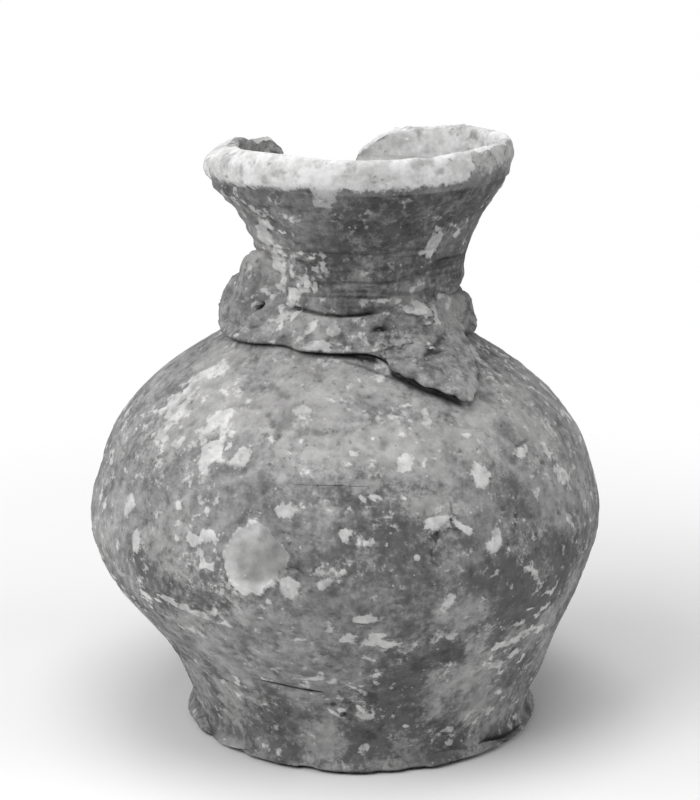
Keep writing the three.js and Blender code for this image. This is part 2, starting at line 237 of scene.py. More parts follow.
# Thin pale film, as places on the wall, at the front and then at the back.
FILMS = [
    (-138, 117, 24, 12, 15, 0.9), (-100, 120, 34, 12, 0, 0.75), (-60, 118, 28, 12, 0, 0.55),
    (-142, 131, 9, 4, 0, 1.2), (-156, 130, 7, 5, 0, 1.6), (-66, 115, 12, 7, 0, 1.0),
    (-72, 96, 13, 5, 0, 0.9), (-35, 112, 14, 14, 0, 0.8), (-136, 80, 8, 8, 0, 0.8),
    (-82, 127, 14, 5, 0, 0.9), (-80, 113, 25, 10, 0, 1.1), (-146, 163, 8, 12, 0, 0.9),
    (-68, 148, 12, 5, 0, 0.6), (-62, 138, 9, 6, 0, 0.7), (-30, 147, 10, 8, 0, 0.6),
    (-148, 180, 14, 6, 0, 0.9), (-68, 20, 5, 9, 0, 0.8), (-56, 20, 8, 10, 0, 0.9),
    (-124, 143, 12, 4, 0, 0.8), (-128, 54, 24, 6, 25, 0.9), (-59, 32, 10, 13, -35, 1.2),
    (-132, 15, 10, 9, 0, 0.7), (-52, 12, 6, 8, 0, 0.5), (-104, 13, 9, 8, 0, 0.6),
    (-113, 47, 9, 5, 20, 0.7), (-78, 53, 24, 4, 0, 0.7), (-160, 90, 12, 20, 0, 0.5),
    (-126, 85, 10, 9, 0, 0.7), (-101, 70, 7, 6, 0, 0.5), (-150, 70, 12, 8, 0, 0.3),
    (20, 110, 30, 14, 0, 0.6), (70, 60, 26, 12, 20, 0.7), (120, 105, 34, 12, -10, 0.8),
    (150, 40, 20, 14, 0, 0.7), (95, 24, 16, 9, 0, 0.6), (40, 84, 18, 14, 0, 0.6),
]
# Darker stains in the clay, in the same way. The one at -68 degrees and 177 mm, under the rim's roll, is
# painted shade.
STAINS = [
    (-80, 87, 26, 14, 0, 0.85), (-44, 66, 22, 15, 0, 2.0), (-46, 77, 9, 6, 0, 1.4),
    (-63, 71, 16, 8, 0, 1.1), (-91, 86, 8, 8, 0, 1.1), (-120, 68, 18, 8, 10, 1.9),
    (-136, 73, 10, 8, 0, 1.3), (-101, 84, 4, 10, 0, 1.2), (-117, 22, 13, 10, 0, 1.8),
    (-86, 21, 11, 12, 0, 1.8), (-75, 41, 16, 8, 12, 1.5), (-36, 36, 12, 14, 0, 0.6),
    (-68, 177, 24, 11, 0, 1.5), (-58, 161, 15, 10, 0, 1.4), (-112, 6, 26, 5, 0, 0.6),
    (-64, 6, 12, 5, 0, 0.8), (-110, 116, 5, 3, 0, 0.6), (-152, 4, 9, 2.5, -12, 1.6),
    (-38, 5, 9, 2, -5, 1.4), (-15, 4, 2.5, 4, 0, 1.5), (-116, 102, 12, 5, 0, 0.5),
    (-65, 84, 6, 5, 0, 0.6), (-85, 7, 14, 6, 0, 1.1), (-105, 24, 6, 6, 0, 0.8),
    (-94, 161, 12, 7, 0, 0.8), (-96, 84, 6, 8, 0, 0.9), (-113, 67, 12, 5, 20, 0.9),
    (10, 70, 30, 16, 0, 0.9), (75, 92, 24, 12, 0, 0.7), (130, 72, 26, 14, 0, 0.8),
    (60, 25, 18, 10, 0, 0.9),
]
# Places where small flakes crowd together.
CROWDED = [
    (-82, 57, 30, 5, 0, 0.8), (-132, 60, 22, 8, 25, 0.7), (-100, 66, 12, 6, 0, 0.6),
    (-42, 58, 16, 7, 20, 0.6), (-138, 113, 18, 12, 0, 0.55), (-60, 108, 12, 8, 0, 0.4),
    (-130, 86, 12, 10, 0, 0.5), (-138, 172, 8, 10, 0, 0.6), (-112, 156, 12, 5, 0, 0.5),
    (-58, 146, 13, 7, 0, 1.2), (-88, 38, 12, 5, 0, 0.5),
]
# Round marks: where another pot touched in the kiln, and where flakes have sprung off. Each has its angle,
# height, radius, depth, and how smooth and pale it is inside.
SCARS = [
    (-109, 81, 10.2, 0.6, 1.0), (-100, 74, 5.0, 0.5, 0.0), (-67.5, 83, 5.6, 0.5, 0.0),
    (-97.6, 26.6, 0.9, 0.7, 0.0), (-95.2, 22.2, 0.9, 0.7, 0.0), (60, 80, 8, 0.5, 0.8),
    (140, 96, 5, 0.4, 0.4),
]
# Hairline cracks, as angles and heights along them.
HAIRLINES = [
    [(-66, 97), (-66.4, 92.4), (-69.7, 89.4), (-73.3, 85.6)], [(-48.5, 95), (-50.5, 87), (-52, 80)],
    [(-46, 104), (-43, 108), (-37, 109)], [(30, 120), (36, 108), (33, 96)],
]
HAIRLINE_HALF_WIDTH = 0.4
# Heights between which wiping drew the small flakes out level: where it fades in, and where it fades out.
WIPED_LOW = (48, 52)
WIPED_HIGH = (62, 68)
# Heights between which the duller, more stained skin of the foot gives way to the belly's.
DULL_FOOT = (45, 75)


def near_line(angle, height, line, half_width):
    """From 0 to 1 near a line of straight parts, given as angles and heights: a bell across the nearest."""
    total = np.zeros(np.shape(height))
    for (angle_a, height_a), (angle_b, height_b) in zip(line[:-1], line[1:]):
        run = math.radians(angle_b - angle_a) * wall_radius(height_a)
        rise = height_b - height_a
        along = side_step(angle, angle_a, height_a)
        up = height - height_a
        share = np.clip((along * run + up * rise) / (run**2 + rise**2), 0, 1)
        squared = (along - share * run) ** 2 + (up - share * rise) ** 2
        total = np.maximum(total, np.exp(-squared / half_width**2))
    return total


def weather(points, angle, height):
    """What firing and burial left on the outside, at each point, with painted shade added: cover is above 0
    under pale crust, film, stain and the mark of grime and painted shade go up from 0, shade goes from -1,
    paler, to 1, darker, and relief is how far the skin stands out. The grime and painted shade lie in low
    spots, in hairline cracks and at scar edges, and the shade is painted inside the pale scars. All of them
    are bells at noted places with clouds of noise added, so that their borders are ragged, and the scars are
    laid over them one by one."""
    ragged = noise(points, 4.6, 11, 4)
    cover = spots(angle, height, FLAKES) - 0.52 + 0.42 * ragged
    crowd = spots(angle, height, CROWDED)
    stained = spots(angle, height, STAINS)
    wiped = ease(height, *WIPED_LOW) * (1 - ease(height, *WIPED_HIGH))
    drawn_out = noise(points * (0.6, 0.6, 1.7), 3.2, 18, 3)
    small_flakes = noise(points, 3.2, 13, 3) * (1 - wiped) + drawn_out * wiped
    scatter = 0.95 * small_flakes + 0.5 * noise(points, 26, 12, 2) + 0.75 * crowd - 1.2
    cover = np.maximum(cover, scatter - 0.8 * np.clip(stained - 0.8, 0, 1))
    low = 1 - ease(height, *DULL_FOOT)
    film = spots(angle, height, FILMS) + (0.36 + 0.14 * low) * noise(points, 12, 14, 5)
    film = film + 0.12 * ease(height, 100, 112)
    stain = stained + (0.42 + 0.2 * low) * noise(points, 15, 15, 5) + 0.2 * low
    medium = noise(points, 11, 2, 3)
    small = noise(points, 3.4, 3, 3)
    line = np.max([near_line(angle, height, crack, HAIRLINE_HALF_WIDTH) for crack in HAIRLINES], axis=0)
    line = line * ease(ragged, -0.7, 0.0)
    # Grime and painted shade in the low spots of the relief and in the hairline cracks.
    hollow = 0.38 * ease(-0.5 * medium - 0.6 * small, 0.35, 1.1) + 0.7 * line
    shade = np.zeros_like(hollow)
    relief = 0.42 * noise(points, 34, 1, 2) + 0.2 * medium + 0.14 * small - 0.3 * line
    wobble = noise(points, 9, 17, 2)
    scallops = noise(points, 2.6, 19, 2)
    # A scar's lip of crust stands round all but its right side. A pale scar's shade is painted: paler towards
    # its lip and darker towards its lower right. The upper left edge of the other scars and the inside of the
    # small deep ones are painted dark as shade.
    for middle, level, radius, depth, pale in SCARS:
        along = side_step(angle, middle, level)
        up = height - level
        out = np.hypot(along, up) - radius * (1 + 0.13 * wobble) + 0.75 * scallops * min(radius / 5, 1)
        inside = 1 - ease(out, -0.7, 0.3)
        low_right = ease((along - up) / radius, -1.0, 1.2)
        beside = 1 - ease(along / radius, -0.1, 0.4) * ease(up / radius, -0.8, -0.3)
        lip = bell(out, -0.3, 0.9) * beside
        soft_lip = bell(np.minimum(out + 0.5, 0), 0, 0.35 * radius) * beside
        cover = np.where(inside * pale > 0.3, 1.5 * lip - 0.95 + 0.15 * ragged, cover)
        film = film * (1 - inside) + inside * (1.9 * pale + 0.3)
        stain = stain * (1 - inside * (0.4 + 0.6 * pale))
        tone = 0.75 * low_right + 0.2 * medium + 0.2 * small - 1.5 * soft_lip
        shade = np.where(inside > 0, pale * inside * tone, shade)
        edge = bell(out, 0.2, 0.5) * ease(up - along, -0.3 * radius, 0.6 * radius)
        hollow = hollow * (1 - inside * pale) + 0.7 * (1 - pale) * edge + 0.9 * inside * (radius < 2)
        relief = relief - depth * ease(-out, -0.3, max(0.35 * radius, 1.0)) + 0.2 * lip * (radius > 2)
    pits = ease(noise(points, 1.9, 16, 2), 1.22, 1.4)
    relief = relief + 0.24 * ease(cover, -0.08, 0.12) - 0.35 * pits
    return {
        "cover": cover, "film": np.clip(film, 0, 2), "stain": np.clip(stain, 0, 1.6), "pits": pits,
        "shade": np.clip(shade, -1, 1), "hollow": np.clip(hollow, 0, 1),
        "relief": np.minimum(relief - SKIN_INSET, 0),
    }


# Edges at which a surface turns by more than this many degrees stay sharp.
SHARP_ANGLE = 62


def grid_object(name, points, marks, wrap_rows=False, poles=False):
    """A closed mesh from a grid of points in millimetres. Neighbours span four-sided faces, the last column
    joins the first, wrapped rows do too, and with poles the first and last rows are single points. The
    signed volume tells which way the faces turn, and they are turned outwards."""
    rows, columns = points.shape[:2]
    index = np.arange(rows * columns).reshape(rows, columns)
    if poles:
        index[0] = index[0, 0]
        index[-1] = index[-1, 0]
    index = np.concatenate([index, index[:, :1]], axis=1)
    if wrap_rows:
        index = np.concatenate([index, index[:1]], axis=0)
    quads = np.stack([index[:-1, :-1], index[1:, :-1], index[1:, 1:], index[:-1, 1:]], axis=-1).reshape(-1, 4)
    used, quads = np.unique(quads, return_inverse=True)
    quads = quads.reshape(-1, 4)
    corners = points.reshape(-1, 3)[used]
    fan = np.concatenate([quads[:, :3], quads[:, [0, 2, 3]]])
    a, b, c = (corners[fan[:, k]] for k in range(3))
    if np.sum(a * np.cross(b, c)) < 0:
        quads = quads[:, ::-1]
    low_fan = quads[:, 0] == quads[:, 3]
    high_fan = quads[:, 1] == quads[:, 2]
    faces = quads[~(low_fan | high_fan)].tolist()
    faces += quads[low_fan][:, :3].tolist()
    faces += quads[high_fan][:, [0, 1, 3]].tolist()
    mesh = bpy.data.meshes.new(name)
    mesh.from_pydata((corners * MM).tolist(), [], faces)
    mesh.polygons.foreach_set("use_smooth", np.ones(len(mesh.polygons), bool))
    mesh.set_sharp_from_angle(angle=math.radians(SHARP_ANGLE))
    for mark, values in marks.items():
        layer = mesh.attributes.new(mark, "FLOAT", "POINT")
        spread_out = np.broadcast_to(values, (rows, columns)).reshape(-1)
        layer.data.foreach_set("value", spread_out[used].astype(np.float32))
    piece = bpy.data.objects.new(name, mesh)
    bpy.context.scene.collection.objects.link(piece)
    return piece


def ring_angles(columns):
    """A row of even angles once round the jar, in radians, from the left side on."""
    return np.linspace(-math.pi, math.pi, columns, endpoint=False)[None, :]


def even_steps(low, high, step, radius):
    """Shares of the way from low to high whose places lie evenly along the curve of a wall, about a step
    apart: the curve's length is summed up finely and read back at even lengths."""
    fine = np.linspace(low, high, 500)
    path = np.concatenate([[0], np.cumsum(np.hypot(np.diff(fine), np.diff(radius(fine))))])
    count = max(int(round(path[-1] / step)), 2) + 1
    return (np.interp(np.linspace(0, path[-1], count), path, fine) - low) / (high - low)


def outer_skin(angle, height, rings=0):
    """The weathered outside of the wall and its marks: the plain wall, moved along its own normal by the
    relief, less the depth of rings or other dents."""
    plain = settle(wall_radius(height), angle, height)
    marks = weather(plain, angle, height)
    relief = marks.pop("relief") - rings
    slope = wall_slope(height)
    normal = np.stack([np.cos(angle), np.sin(angle), -slope], axis=-1) / np.hypot(1, slope)[..., None]
    return plain + normal * relief[..., None], marks


def shade_node(tree, kind, sockets=None, **settings):
    """Adds a shader node. sockets gives a value, or another node's socket to link, by name or number."""
    node = tree.nodes.new("ShaderNode" + kind)
    for key, value in settings.items():
        setattr(node, key, value)
    for key, value in (sockets or {}).items():
        if isinstance(value, bpy.types.NodeSocket):
            tree.links.new(value, node.inputs[key])
        else:
            node.inputs[key].default_value = value
    return node


def maths(tree, operation, first, second=0.0, clamp=False):
    """One step of arithmetic on two numbers or sockets."""
    return shade_node(tree, "Math", {0: first, 1: second}, operation=operation, use_clamp=clamp).outputs[0]


def weighed(tree, *terms):
    """The sum of sockets, each times its weight."""
    products = [maths(tree, "MULTIPLY", socket, weight) for socket, weight in terms]
    total = products[0]
    for product in products[1:]:
        total = maths(tree, "ADD", total, product)
    return total


def laid_over(tree, share, strength, colour, layer):
    """A colour with another laid over it: the share says where, and the strength how thickly."""
    factor = maths(tree, "MULTIPLY", share, strength, clamp=True)
    sockets = {0: factor, 6: colour, 7: layer}
    return shade_node(tree, "Mix", sockets, data_type="RGBA").outputs[2]


def ramped(tree, value, low, high):
    """A number carried from low..high to 0..1 by a smooth step."""
    sockets = {"Value": value, "From Min": low, "From Max": high}
    return shade_node(tree, "MapRange", sockets, interpolation_type="SMOOTHSTEP").outputs[0]


def clouds(tree, place, size, detail, roughness):
    """Noise of a size in millimetres round a middle of 0."""
    sockets = {"Vector": place, "Scale": 1 / (size * MM), "Detail": detail, "Roughness": roughness}
    return maths(tree, "SUBTRACT", shade_node(tree, "TexNoise", sockets).outputs[0], 0.5)


def new_group(name, inputs, outputs):
    """A shader group with named sockets. Gives the group, its Object coordinates, and the sockets that bring
    its inputs and take its outputs."""
    group = bpy.data.node_groups.new(name, "ShaderNodeTree")
    for label, kind, value in inputs:
        socket = group.interface.new_socket(label, in_out="INPUT", socket_type="NodeSocket" + kind)
        socket.default_value = value
    for label, kind in outputs:
        group.interface.new_socket(label, in_out="OUTPUT", socket_type="NodeSocket" + kind)
    place = shade_node(group, "TexCoord").outputs["Object"]
    return group, place, group.nodes.new("NodeGroupInput").outputs, group.nodes.new("NodeGroupOutput").inputs


def grey(level, warmth=0.0):
    """A near-neutral colour from its display level, 0 to 255, a little towards red or green."""
    channels = [level + warmth, level, level - warmth * 0.6]
    linear = [((v / 255 + 0.055) / 1.055) ** 2.4 for v in channels]
    return (*linear, 1.0)


# Mottled clay: three sizes of noise mix a dark and a light body colour.
mottle, place, given, out = new_group(
    "clay mottle",
    [("Dark", "Color", grey(90)), ("Light", "Color", grey(150)), ("Tone", "Float", 0.0)],
    [("Colour", "Color"), ("Height", "Float")],
)
broad = clouds(mottle, place, 17, 4, 0.6)
middling = clouds(mottle, place, 4.2, 5, 0.62)
fine = clouds(mottle, place, 1.1, 4, 0.6)
value = weighed(mottle, (broad, 1.8), (middling, 1.9), (fine, 0.6))
value = maths(mottle, "ADD", value, given["Tone"])
value = maths(mottle, "ADD", value, 0.5)
mottle.links.new(laid_over(mottle, value, 1.0, given["Dark"], given["Light"]), out["Colour"])
mottle.links.new(weighed(mottle, (middling, 0.9), (fine, 0.8)), out["Height"])

# Ragged crust: a cover value with fine noise on it, cut off sharply where it passes 0.
crust, place, given, out = new_group(
    "ragged crust",
    [("Cover", "Float", 0.0), ("Raggedness", "Float", 0.5), ("Softness", "Float", 0.05)],
    [("Mask", "Float")],
)
ragged = clouds(crust, place, 2.4, 6, 0.72)
level = maths(crust, "ADD", given["Cover"], maths(crust, "MULTIPLY", ragged, given["Raggedness"]))
low = maths(crust, "MULTIPLY", given["Softness"], -1.0)
crust.links.new(ramped(crust, level, low, given["Softness"]), out["Mask"])

# Grit: a few cells of a cell pattern hold a dark pit, and a few others a pale grain.
GRIT_CELL = 1.7
GRIT_WARP = 0.7
grit, place, given, out = new_group(
    "grit",
    [("Pits", "Float", 0.1), ("Grains", "Float", 0.1)],
    [("Dark", "Float"), ("Pale", "Float")],
)
warp = shade_node(grit, "TexNoise", {"Vector": place, "Scale": 1 / (0.9 * MM), "Detail": 2.0})
warp = shade_node(grit, "VectorMath", {0: warp.outputs["Color"], 3: GRIT_WARP * MM}, operation="SCALE")
place = shade_node(grit, "VectorMath", {0: place, 1: warp.outputs[0]}, operation="ADD").outputs[0]
cells = shade_node(grit, "TexVoronoi", {"Vector": place, "Scale": 1 / (GRIT_CELL * MM)})
chance = shade_node(grit, "SeparateColor", {0: cells.outputs["Color"]}).outputs
size = maths(grit, "ADD", maths(grit, "MULTIPLY", chance[2], 0.2), 0.07)
away = maths(grit, "DIVIDE", cells.outputs["Distance"], size)
dot = maths(grit, "SUBTRACT", 1.0, ramped(grit, away, 0.7, 1.3))
for channel, share, kind in ((0, "Pits", "Dark"), (1, "Grains", "Pale")):
    chosen = maths(grit, "LESS_THAN", chance[channel], given[share])
    grit.links.new(maths(grit, "MULTIPLY", dot, chosen), out[kind])

# Wiped streaks: noise drawn out level round the jar.
STREAK_STRETCH = 7.0
streaks, place, given, out = new_group("wiped streaks", [("Amount", "Float", 1.0)], [("Value", "Float")])
place = shade_node(streaks, "Mapping", {"Vector": place, "Scale": (1.0, 1.0, STREAK_STRETCH)}).outputs[0]
lines = clouds(streaks, place, 11, 5, 0.65)
streaks.links.new(maths(streaks, "MULTIPLY", lines, given["Amount"]), out["Value"])


def placed(tree, group, sockets):
    """Places a shader group in a material."""
    return shade_node(tree, "Group", sockets, node_tree=group).outputs


def mottled(tree, shades, tone=0.0):
    """Mottled clay between a dark and a light shade, as colour and height."""
    return placed(tree, mottle, {"Dark": shades[0], "Light": shades[1], "Tone": tone})


def ragged_mask(tree, cover, raggedness, softness):
    """Where something with a ragged edge lies: where the cover is above 0."""
    return placed(tree, crust, {"Cover": cover, "Raggedness": raggedness, "Softness": softness})["Mask"]


def mark_of(tree, name):
    """The value of a mark that the mesh carries."""
    return shade_node(tree, "Attribute", attribute_name=name).outputs["Fac"]


FILM_SHADES = (grey(144, 1), grey(176, 1))
FLAKE_SHADES = (grey(166), grey(218, 1))
BUMP_DEPTH = 0.3
DULLNESS = 0.92


def clay(name, shades, film=FILM_SHADES, coat=None, torn=None):
    """Fired clay with all that lies on it, from the bottom up: mottled body, wiped streaks, stains, pale
    film, painted shade and paler patches from the shade mark, crust in flakes, grit, and grime with painted
    shade in the hollows, cracks and gaps. A coat or a torn face lies under the film. Each is laid over the
    colour below it by a mark of the mesh, and a fixed strength says how thickly."""
    material = bpy.data.materials.new(name)
    material.use_nodes = True
    tree = material.node_tree
    tree.nodes.clear()
    body = mottled(tree, shades, placed(tree, streaks, {"Amount": 0.6})["Value"])
    height = body["Height"]
    stained = ragged_mask(tree, maths(tree, "SUBTRACT", mark_of(tree, "stain"), 0.5), -2.6, 0.55)
    colour = laid_over(tree, stained, 0.73, body["Colour"], grey(72))
    if coat:
        coated = ragged_mask(tree, mark_of(tree, "coat"), 1.6, 0.2)
        colour = laid_over(tree, coated, 0.94, colour, mottled(tree, coat, 0.2)["Colour"])
        height = maths(tree, "ADD", height, maths(tree, "MULTIPLY", coated, 0.5))
    if torn:
        broken = ragged_mask(tree, mark_of(tree, "torn"), 0.5, 0.1)
        colour = laid_over(tree, broken, 1.0, colour, mottled(tree, torn)["Colour"])
    filmed = ragged_mask(tree, maths(tree, "SUBTRACT", mark_of(tree, "film"), 0.46), 2.6, 0.4)
    colour = laid_over(tree, filmed, 0.78, colour, mottled(tree, film)["Colour"])
    # Painted shade: where the shade mark is above 0 the colour darkens towards grey 92, and where it is below
    # 0 it pales towards grey 204.
    shade = mark_of(tree, "shade")
    colour = laid_over(tree, shade, 0.6, colour, grey(92))
    colour = laid_over(tree, shade, -0.7, colour, grey(204))
    pale = mottled(tree, FLAKE_SHADES, 0.05)["Colour"]
    crusted = ragged_mask(tree, mark_of(tree, "cover"), 1.9, 0.16)
    colour = laid_over(tree, crusted, 0.88, colour, pale)
    specks = placed(tree, grit, {"Pits": 0.05, "Grains": 0.11})
    colour = laid_over(tree, specks["Pale"], 0.55, colour, pale)
    pitted = maths(tree, "MAXIMUM", specks["Dark"], mark_of(tree, "pits"))
    colour = laid_over(tree, pitted, 0.45, colour, grey(56))
    # Grime and painted shade: hollows, cracks, gaps and hidden undersides darken towards grey 26.
    colour = laid_over(tree, mark_of(tree, "hollow"), 0.95, colour, grey(26))
    height = maths(tree, "ADD", height, weighed(tree, (crusted, 0.9), (specks["Dark"], -0.8)))
    bump = shade_node(tree, "Bump", {"Height": height, "Strength": 0.55, "Distance": BUMP_DEPTH * MM})
    sockets = {
        "Base Color": colour, "Roughness": DULLNESS, "Specular IOR Level": 0.25, "Normal": bump.outputs[0],
    }
    shader = shade_node(tree, "BsdfPrincipled", sockets)
    shade_node(tree, "OutputMaterial", {"Surface": shader.outputs[0]})
    return material


def finish_piece(piece, material, slot, *nodes):
    """Gives a piece its material, lets it ride on the jar, and hides the solids that it stands for. The slot
    is not used.
    """
    piece.data.materials.append(material)
    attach(piece, "root")
    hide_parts(*nodes)


body_clay = clay("body clay", (grey(102), grey(160)))
SLAB_COLUMNS = 620
SLAB_ROWS = 13
FACE_RINGS = 10
SLAB_RADIUS = 60
CHIP_DEPTH = 1.3
LIP_UNDERCUT = 1.6
UNDERCUT_TOP = 1.8


def slab_dip(angle):
    """The joint over the slab sinks to the floor where the lip has peeled off, at the left and the right."""
    return bells(angle, [(-141, 15, -3.4), (-33, 15, -3.3), (100, 20, -1.0)])


slab_angles = ring_angles(SLAB_COLUMNS)
slab_heights = np.linspace(0, 1, SLAB_ROWS)[:, None] * (SLAB_TOP + slab_dip(slab_angles))
slab_edge, slab_marks = outer_skin(slab_angles + 0 * slab_heights, slab_heights)
chips = ease(noise(slab_edge, 9, 31, 3), 0.35, 1.1) * ease(SLAB_TOP - slab_heights, 0, 3)
undercut = LIP_UNDERCUT * np.clip(1 - slab_heights / UNDERCUT_TOP, 0, 1) ** 2
slab_edge[..., :2] *= (1 - (CHIP_DEPTH * chips + undercut) / SLAB_RADIUS)[..., None]
# A painted contact shadow darkens the lowest 1.9 mm of the lip.
slab_marks["hollow"] = np.maximum(slab_marks["hollow"], ease(1.9 - slab_heights, 0, 1.0) * 0.95)
slab_edge[..., 2] = np.maximum(slab_edge[..., 2], 0)
slab_edge[0, :, 2] = 0
shrink = np.linspace(0, 1, FACE_RINGS)[:-1, None, None]
under = slab_edge[:1] * shrink
over = slab_edge[-1:] * shrink[::-1]
over[..., 2] = slab_edge[-1:, :, 2]
slab_points = np.concatenate([under, slab_edge, over])
slab_points[-1, :, 2] = SLAB_TOP
slab_marks = {
    mark: np.concatenate([np.repeat(v[:1], len(under), 0), v, np.repeat(v[-1:], len(over), 0)])
    for mark, v in slab_marks.items()
}
slab = grid_object("slab_dressed", slab_points, slab_marks, poles=True)
finish_piece(slab, body_clay, "body_clay", "base_slab")


# Foot wall
# The short spreading wall that is thrown on the slab. Wet fingers wiped it level, and a crack runs along part
# of the joint with the belly above.
FOOT_JOINT = 31.5
CRACK_DEPTH = 0.8
CRACK_LIP = 0.5
HAIRLINE_OPENING = 0.01
HIDDEN_MARKS = {"cover": -1.0, "film": 0.3, "stain": 0.5, "pits": 0.0, "shade": 0.0, "hollow": 0.0}


def crack_opening(angle, places):
    """Half the width of a joint's crack: arches that are flat on top round the angles where the luting has
    parted, and nearly nothing elsewhere. A place is its angle, its half length in degrees and its half
    width."""
    opening = np.full(np.shape(angle), HAIRLINE_OPENING)
    for middle, half_length, half_width in places:
        away = np.abs(turn_from(angle, middle)) / half_length
        opening = opening + half_width * np.clip(1 - away**4, 0, 1)
    return opening


def rows_between(first, last, shares):
    """Rows of points on straight lines from one row to another, at shares of the way."""
    return first * (1 - shares) + last * shares


def with_rows(marks, *blocks):
    """Marks of a grid with more rows added under its own. A block is its number of rows, and for each mark a
    value or rows of values."""
    longer = {}
    for mark, own in marks.items():
        added = [np.broadcast_to(values[mark], (rows, own.shape[1])) for rows, values in blocks]
        longer[mark] = np.concatenate([own, *added])
    return longer


def closed_ring(name, outside, inside, marks, hidden_marks):
    """A ring as one closed grid: up its outside, straight across its top, down its inside and straight back
    across its bottom. All but the outside gets the hidden marks."""
    across = np.linspace(0, 1, 6)[1:-1, None, None]
    top = rows_between(outside[-1:], inside[:1], across)
    bottom = rows_between(inside[-1:], outside[:1], across)
    marks = with_rows(marks, (len(top) + len(inside) + len(bottom), hidden_marks))
    return grid_object(name, np.concatenate([outside, top, inside, bottom]), marks, wrap_rows=True)


def wall_ring(name, low, high, wander, low_crack=(), high_crack=(), mark_more=None, columns=640, step=0.5):
    """A ring of the wall between two joints. wander moves the low and the high joint line up or down by
    angle. A crack opens its joint and presses in its lips, less and less away from it, as e to the power
    of minus the distance. mark_more may change the marks of the weathered outside."""
    angles = ring_angles(columns)
    low_wander, high_wander = wander(angles)
    low_open = crack_opening(angles, low_crack)
    high_open = crack_opening(angles, high_crack)
    low_line = low + low_wander + low_open
    high_line = high + high_wander - high_open
    height = low_line + (high_line - low_line) * even_steps(low, high, step, wall_radius)[:, None]
    angle = angles + 0 * height
    lips = (low_open - HAIRLINE_OPENING) * np.exp(-(height - low_line) / CRACK_LIP)
    lips = lips + (high_open - HAIRLINE_OPENING) * np.exp(-(high_line - height) / CRACK_LIP)
    outside, marks = outer_skin(angle, height, rings=CRACK_DEPTH * lips)
    # Painted shade in the opened cracks, strongest at their pressed-in lips.
    marks["hollow"] = np.clip(marks["hollow"] + 1.8 * lips, 0, 1)
    if mark_more:
        mark_more(marks, angle, height)
    height = low_line + (high_line - low_line) * even_steps(low, high, 3.0, inner_radius)[::-1, None]
    angle = angles + 0 * height
    unevenness = 0.4 * noise(settle(SLAB_RADIUS, angle, height), 14, 21, 3)
    inside = settle(inner_radius(height) + unevenness, angle, height)
    return closed_ring(name, outside, inside, marks, HIDDEN_MARKS)


SLAB_CRACKS = [
    (-37, 13, 1.4), (-158, 13, 1.2), (-62, 5, 0.2), (-80, 4, 0.15), (-8, 8, 0.3), (24, 14, 0.25),
    (130, 10, 0.25),
]
FOOT_CRACKS = [(-108, 8.5, 0.27), (-102, 3, 0.14), (60, 12, 0.25)]


def foot_wander(angle):
    """The foot's lower joint follows the slab's, and the upper one climbs a little at the left."""
    return slab_dip(angle), bells(angle, [(-117, 12, 2.2)])


foot = wall_ring("foot_dressed", SLAB_TOP, FOOT_JOINT, foot_wander, SLAB_CRACKS, FOOT_CRACKS)
finish_piece(foot, body_clay, "body_clay", "foot_wall")


# Lower body
# The lower half of the belly, thrown as a bowl and luted on the foot. It leans out to the left, carries the
# round scar where another pot touched it in the kiln, and most of the pale crust.
BELLY_JOINT = 103.5
BELLY_CRACKS = [(-93, 9.5, 0.07)]


def belly_line(angle):
    """The belly's joint wavers a little: two sine waves round the jar."""
    return 0.35 * np.sin(9 * angle) + 0.2 * np.sin(23 * angle + 1)


def lower_wander(angle):
    """The lower joint follows the foot's, and the upper one the belly's."""
    return foot_wander(angle)[1], belly_line(angle)


def darker_under_joint(marks, angle, height):
    """The clay of the lower half is darker right under the joint, at the front."""
    marks["stain"] = marks["stain"] + bells(angle, [(-84, 14, 0.5)]) * ease(height, 93, 100)


lower = wall_ring(
    "lower_body_dressed", FOOT_JOINT, BELLY_JOINT, lower_wander, FOOT_CRACKS, BELLY_CRACKS,
    darker_under_joint, columns=620, step=0.64,
)
finish_piece(lower, body_clay, "body_clay", "lower_body")


# Upper body
# The upper half of the belly and the shoulder, thrown apart and set on the lower half. The seam shows as a
# short level line at the front.
NECK_JOINT = 138.5
BAND_BOTTOM = 135.9
BAND_TOP = 148.9
# Lines of painted shadow, as angles and heights: under the tail's left edge down to its point, under its
# right edge, in a gap under the band at the front, and below the clay that is smeared down beside the tail.
TAIL_EDGE = [(-71, 130.4), (-61.6, 125.7), (-57, 123.7), (-53, 121.6)]
TAIL_RIGHT = [(-50, 120.9), (-43, 124), (-34, 127), (-29, 129.3)]
BAND_GAP = [(-92, 135.8), (-84, 134.8), (-77, 134)]
SMEAR_EDGE = [(-90, 134), (-80, 132), (-72, 129.6)]


def band_foot(angle):
    """Height of the band's lower edge: it dips towards the tail, and a little at the front."""
    return BAND_BOTTOM + bells(angle, [(-124, 10, 0.9), (-92, 16, -0.2), (-64, 9, -6.5), (150, 30, 1.0)])


def painted_shade_under_band(marks, angle, height):
    """Painted shade in the corner under the band, and painted shadow along the lines given above."""
    under = ease(height, band_foot(angle) - 0.7, band_foot(angle) + 0.1)
    under = under * (1 - bells(angle, [(-168, 16, 0.7)]))
    for line, half_width, strength in (
        (TAIL_EDGE, 1.0, 1.0), (BAND_GAP, 0.9, 1.0), (SMEAR_EDGE, 0.4, 0.6), (TAIL_RIGHT, 0.5, 0.6),
    ):
        under = np.maximum(under, strength * near_line(angle, height, line, half_width))
    marks["hollow"] = np.maximum(marks["hollow"], 0.95 * under)


def upper_wander(angle):
    """The lower joint follows the belly's, and the upper one is level."""
    return belly_line(angle), 0


upper = wall_ring(
    "upper_body_dressed", BELLY_JOINT, NECK_JOINT, upper_wander, BELLY_CRACKS, mark_more=painted_shade_under_band,
    columns=630,
)
finish_piece(upper, body_clay, "body_clay", "upper_body")


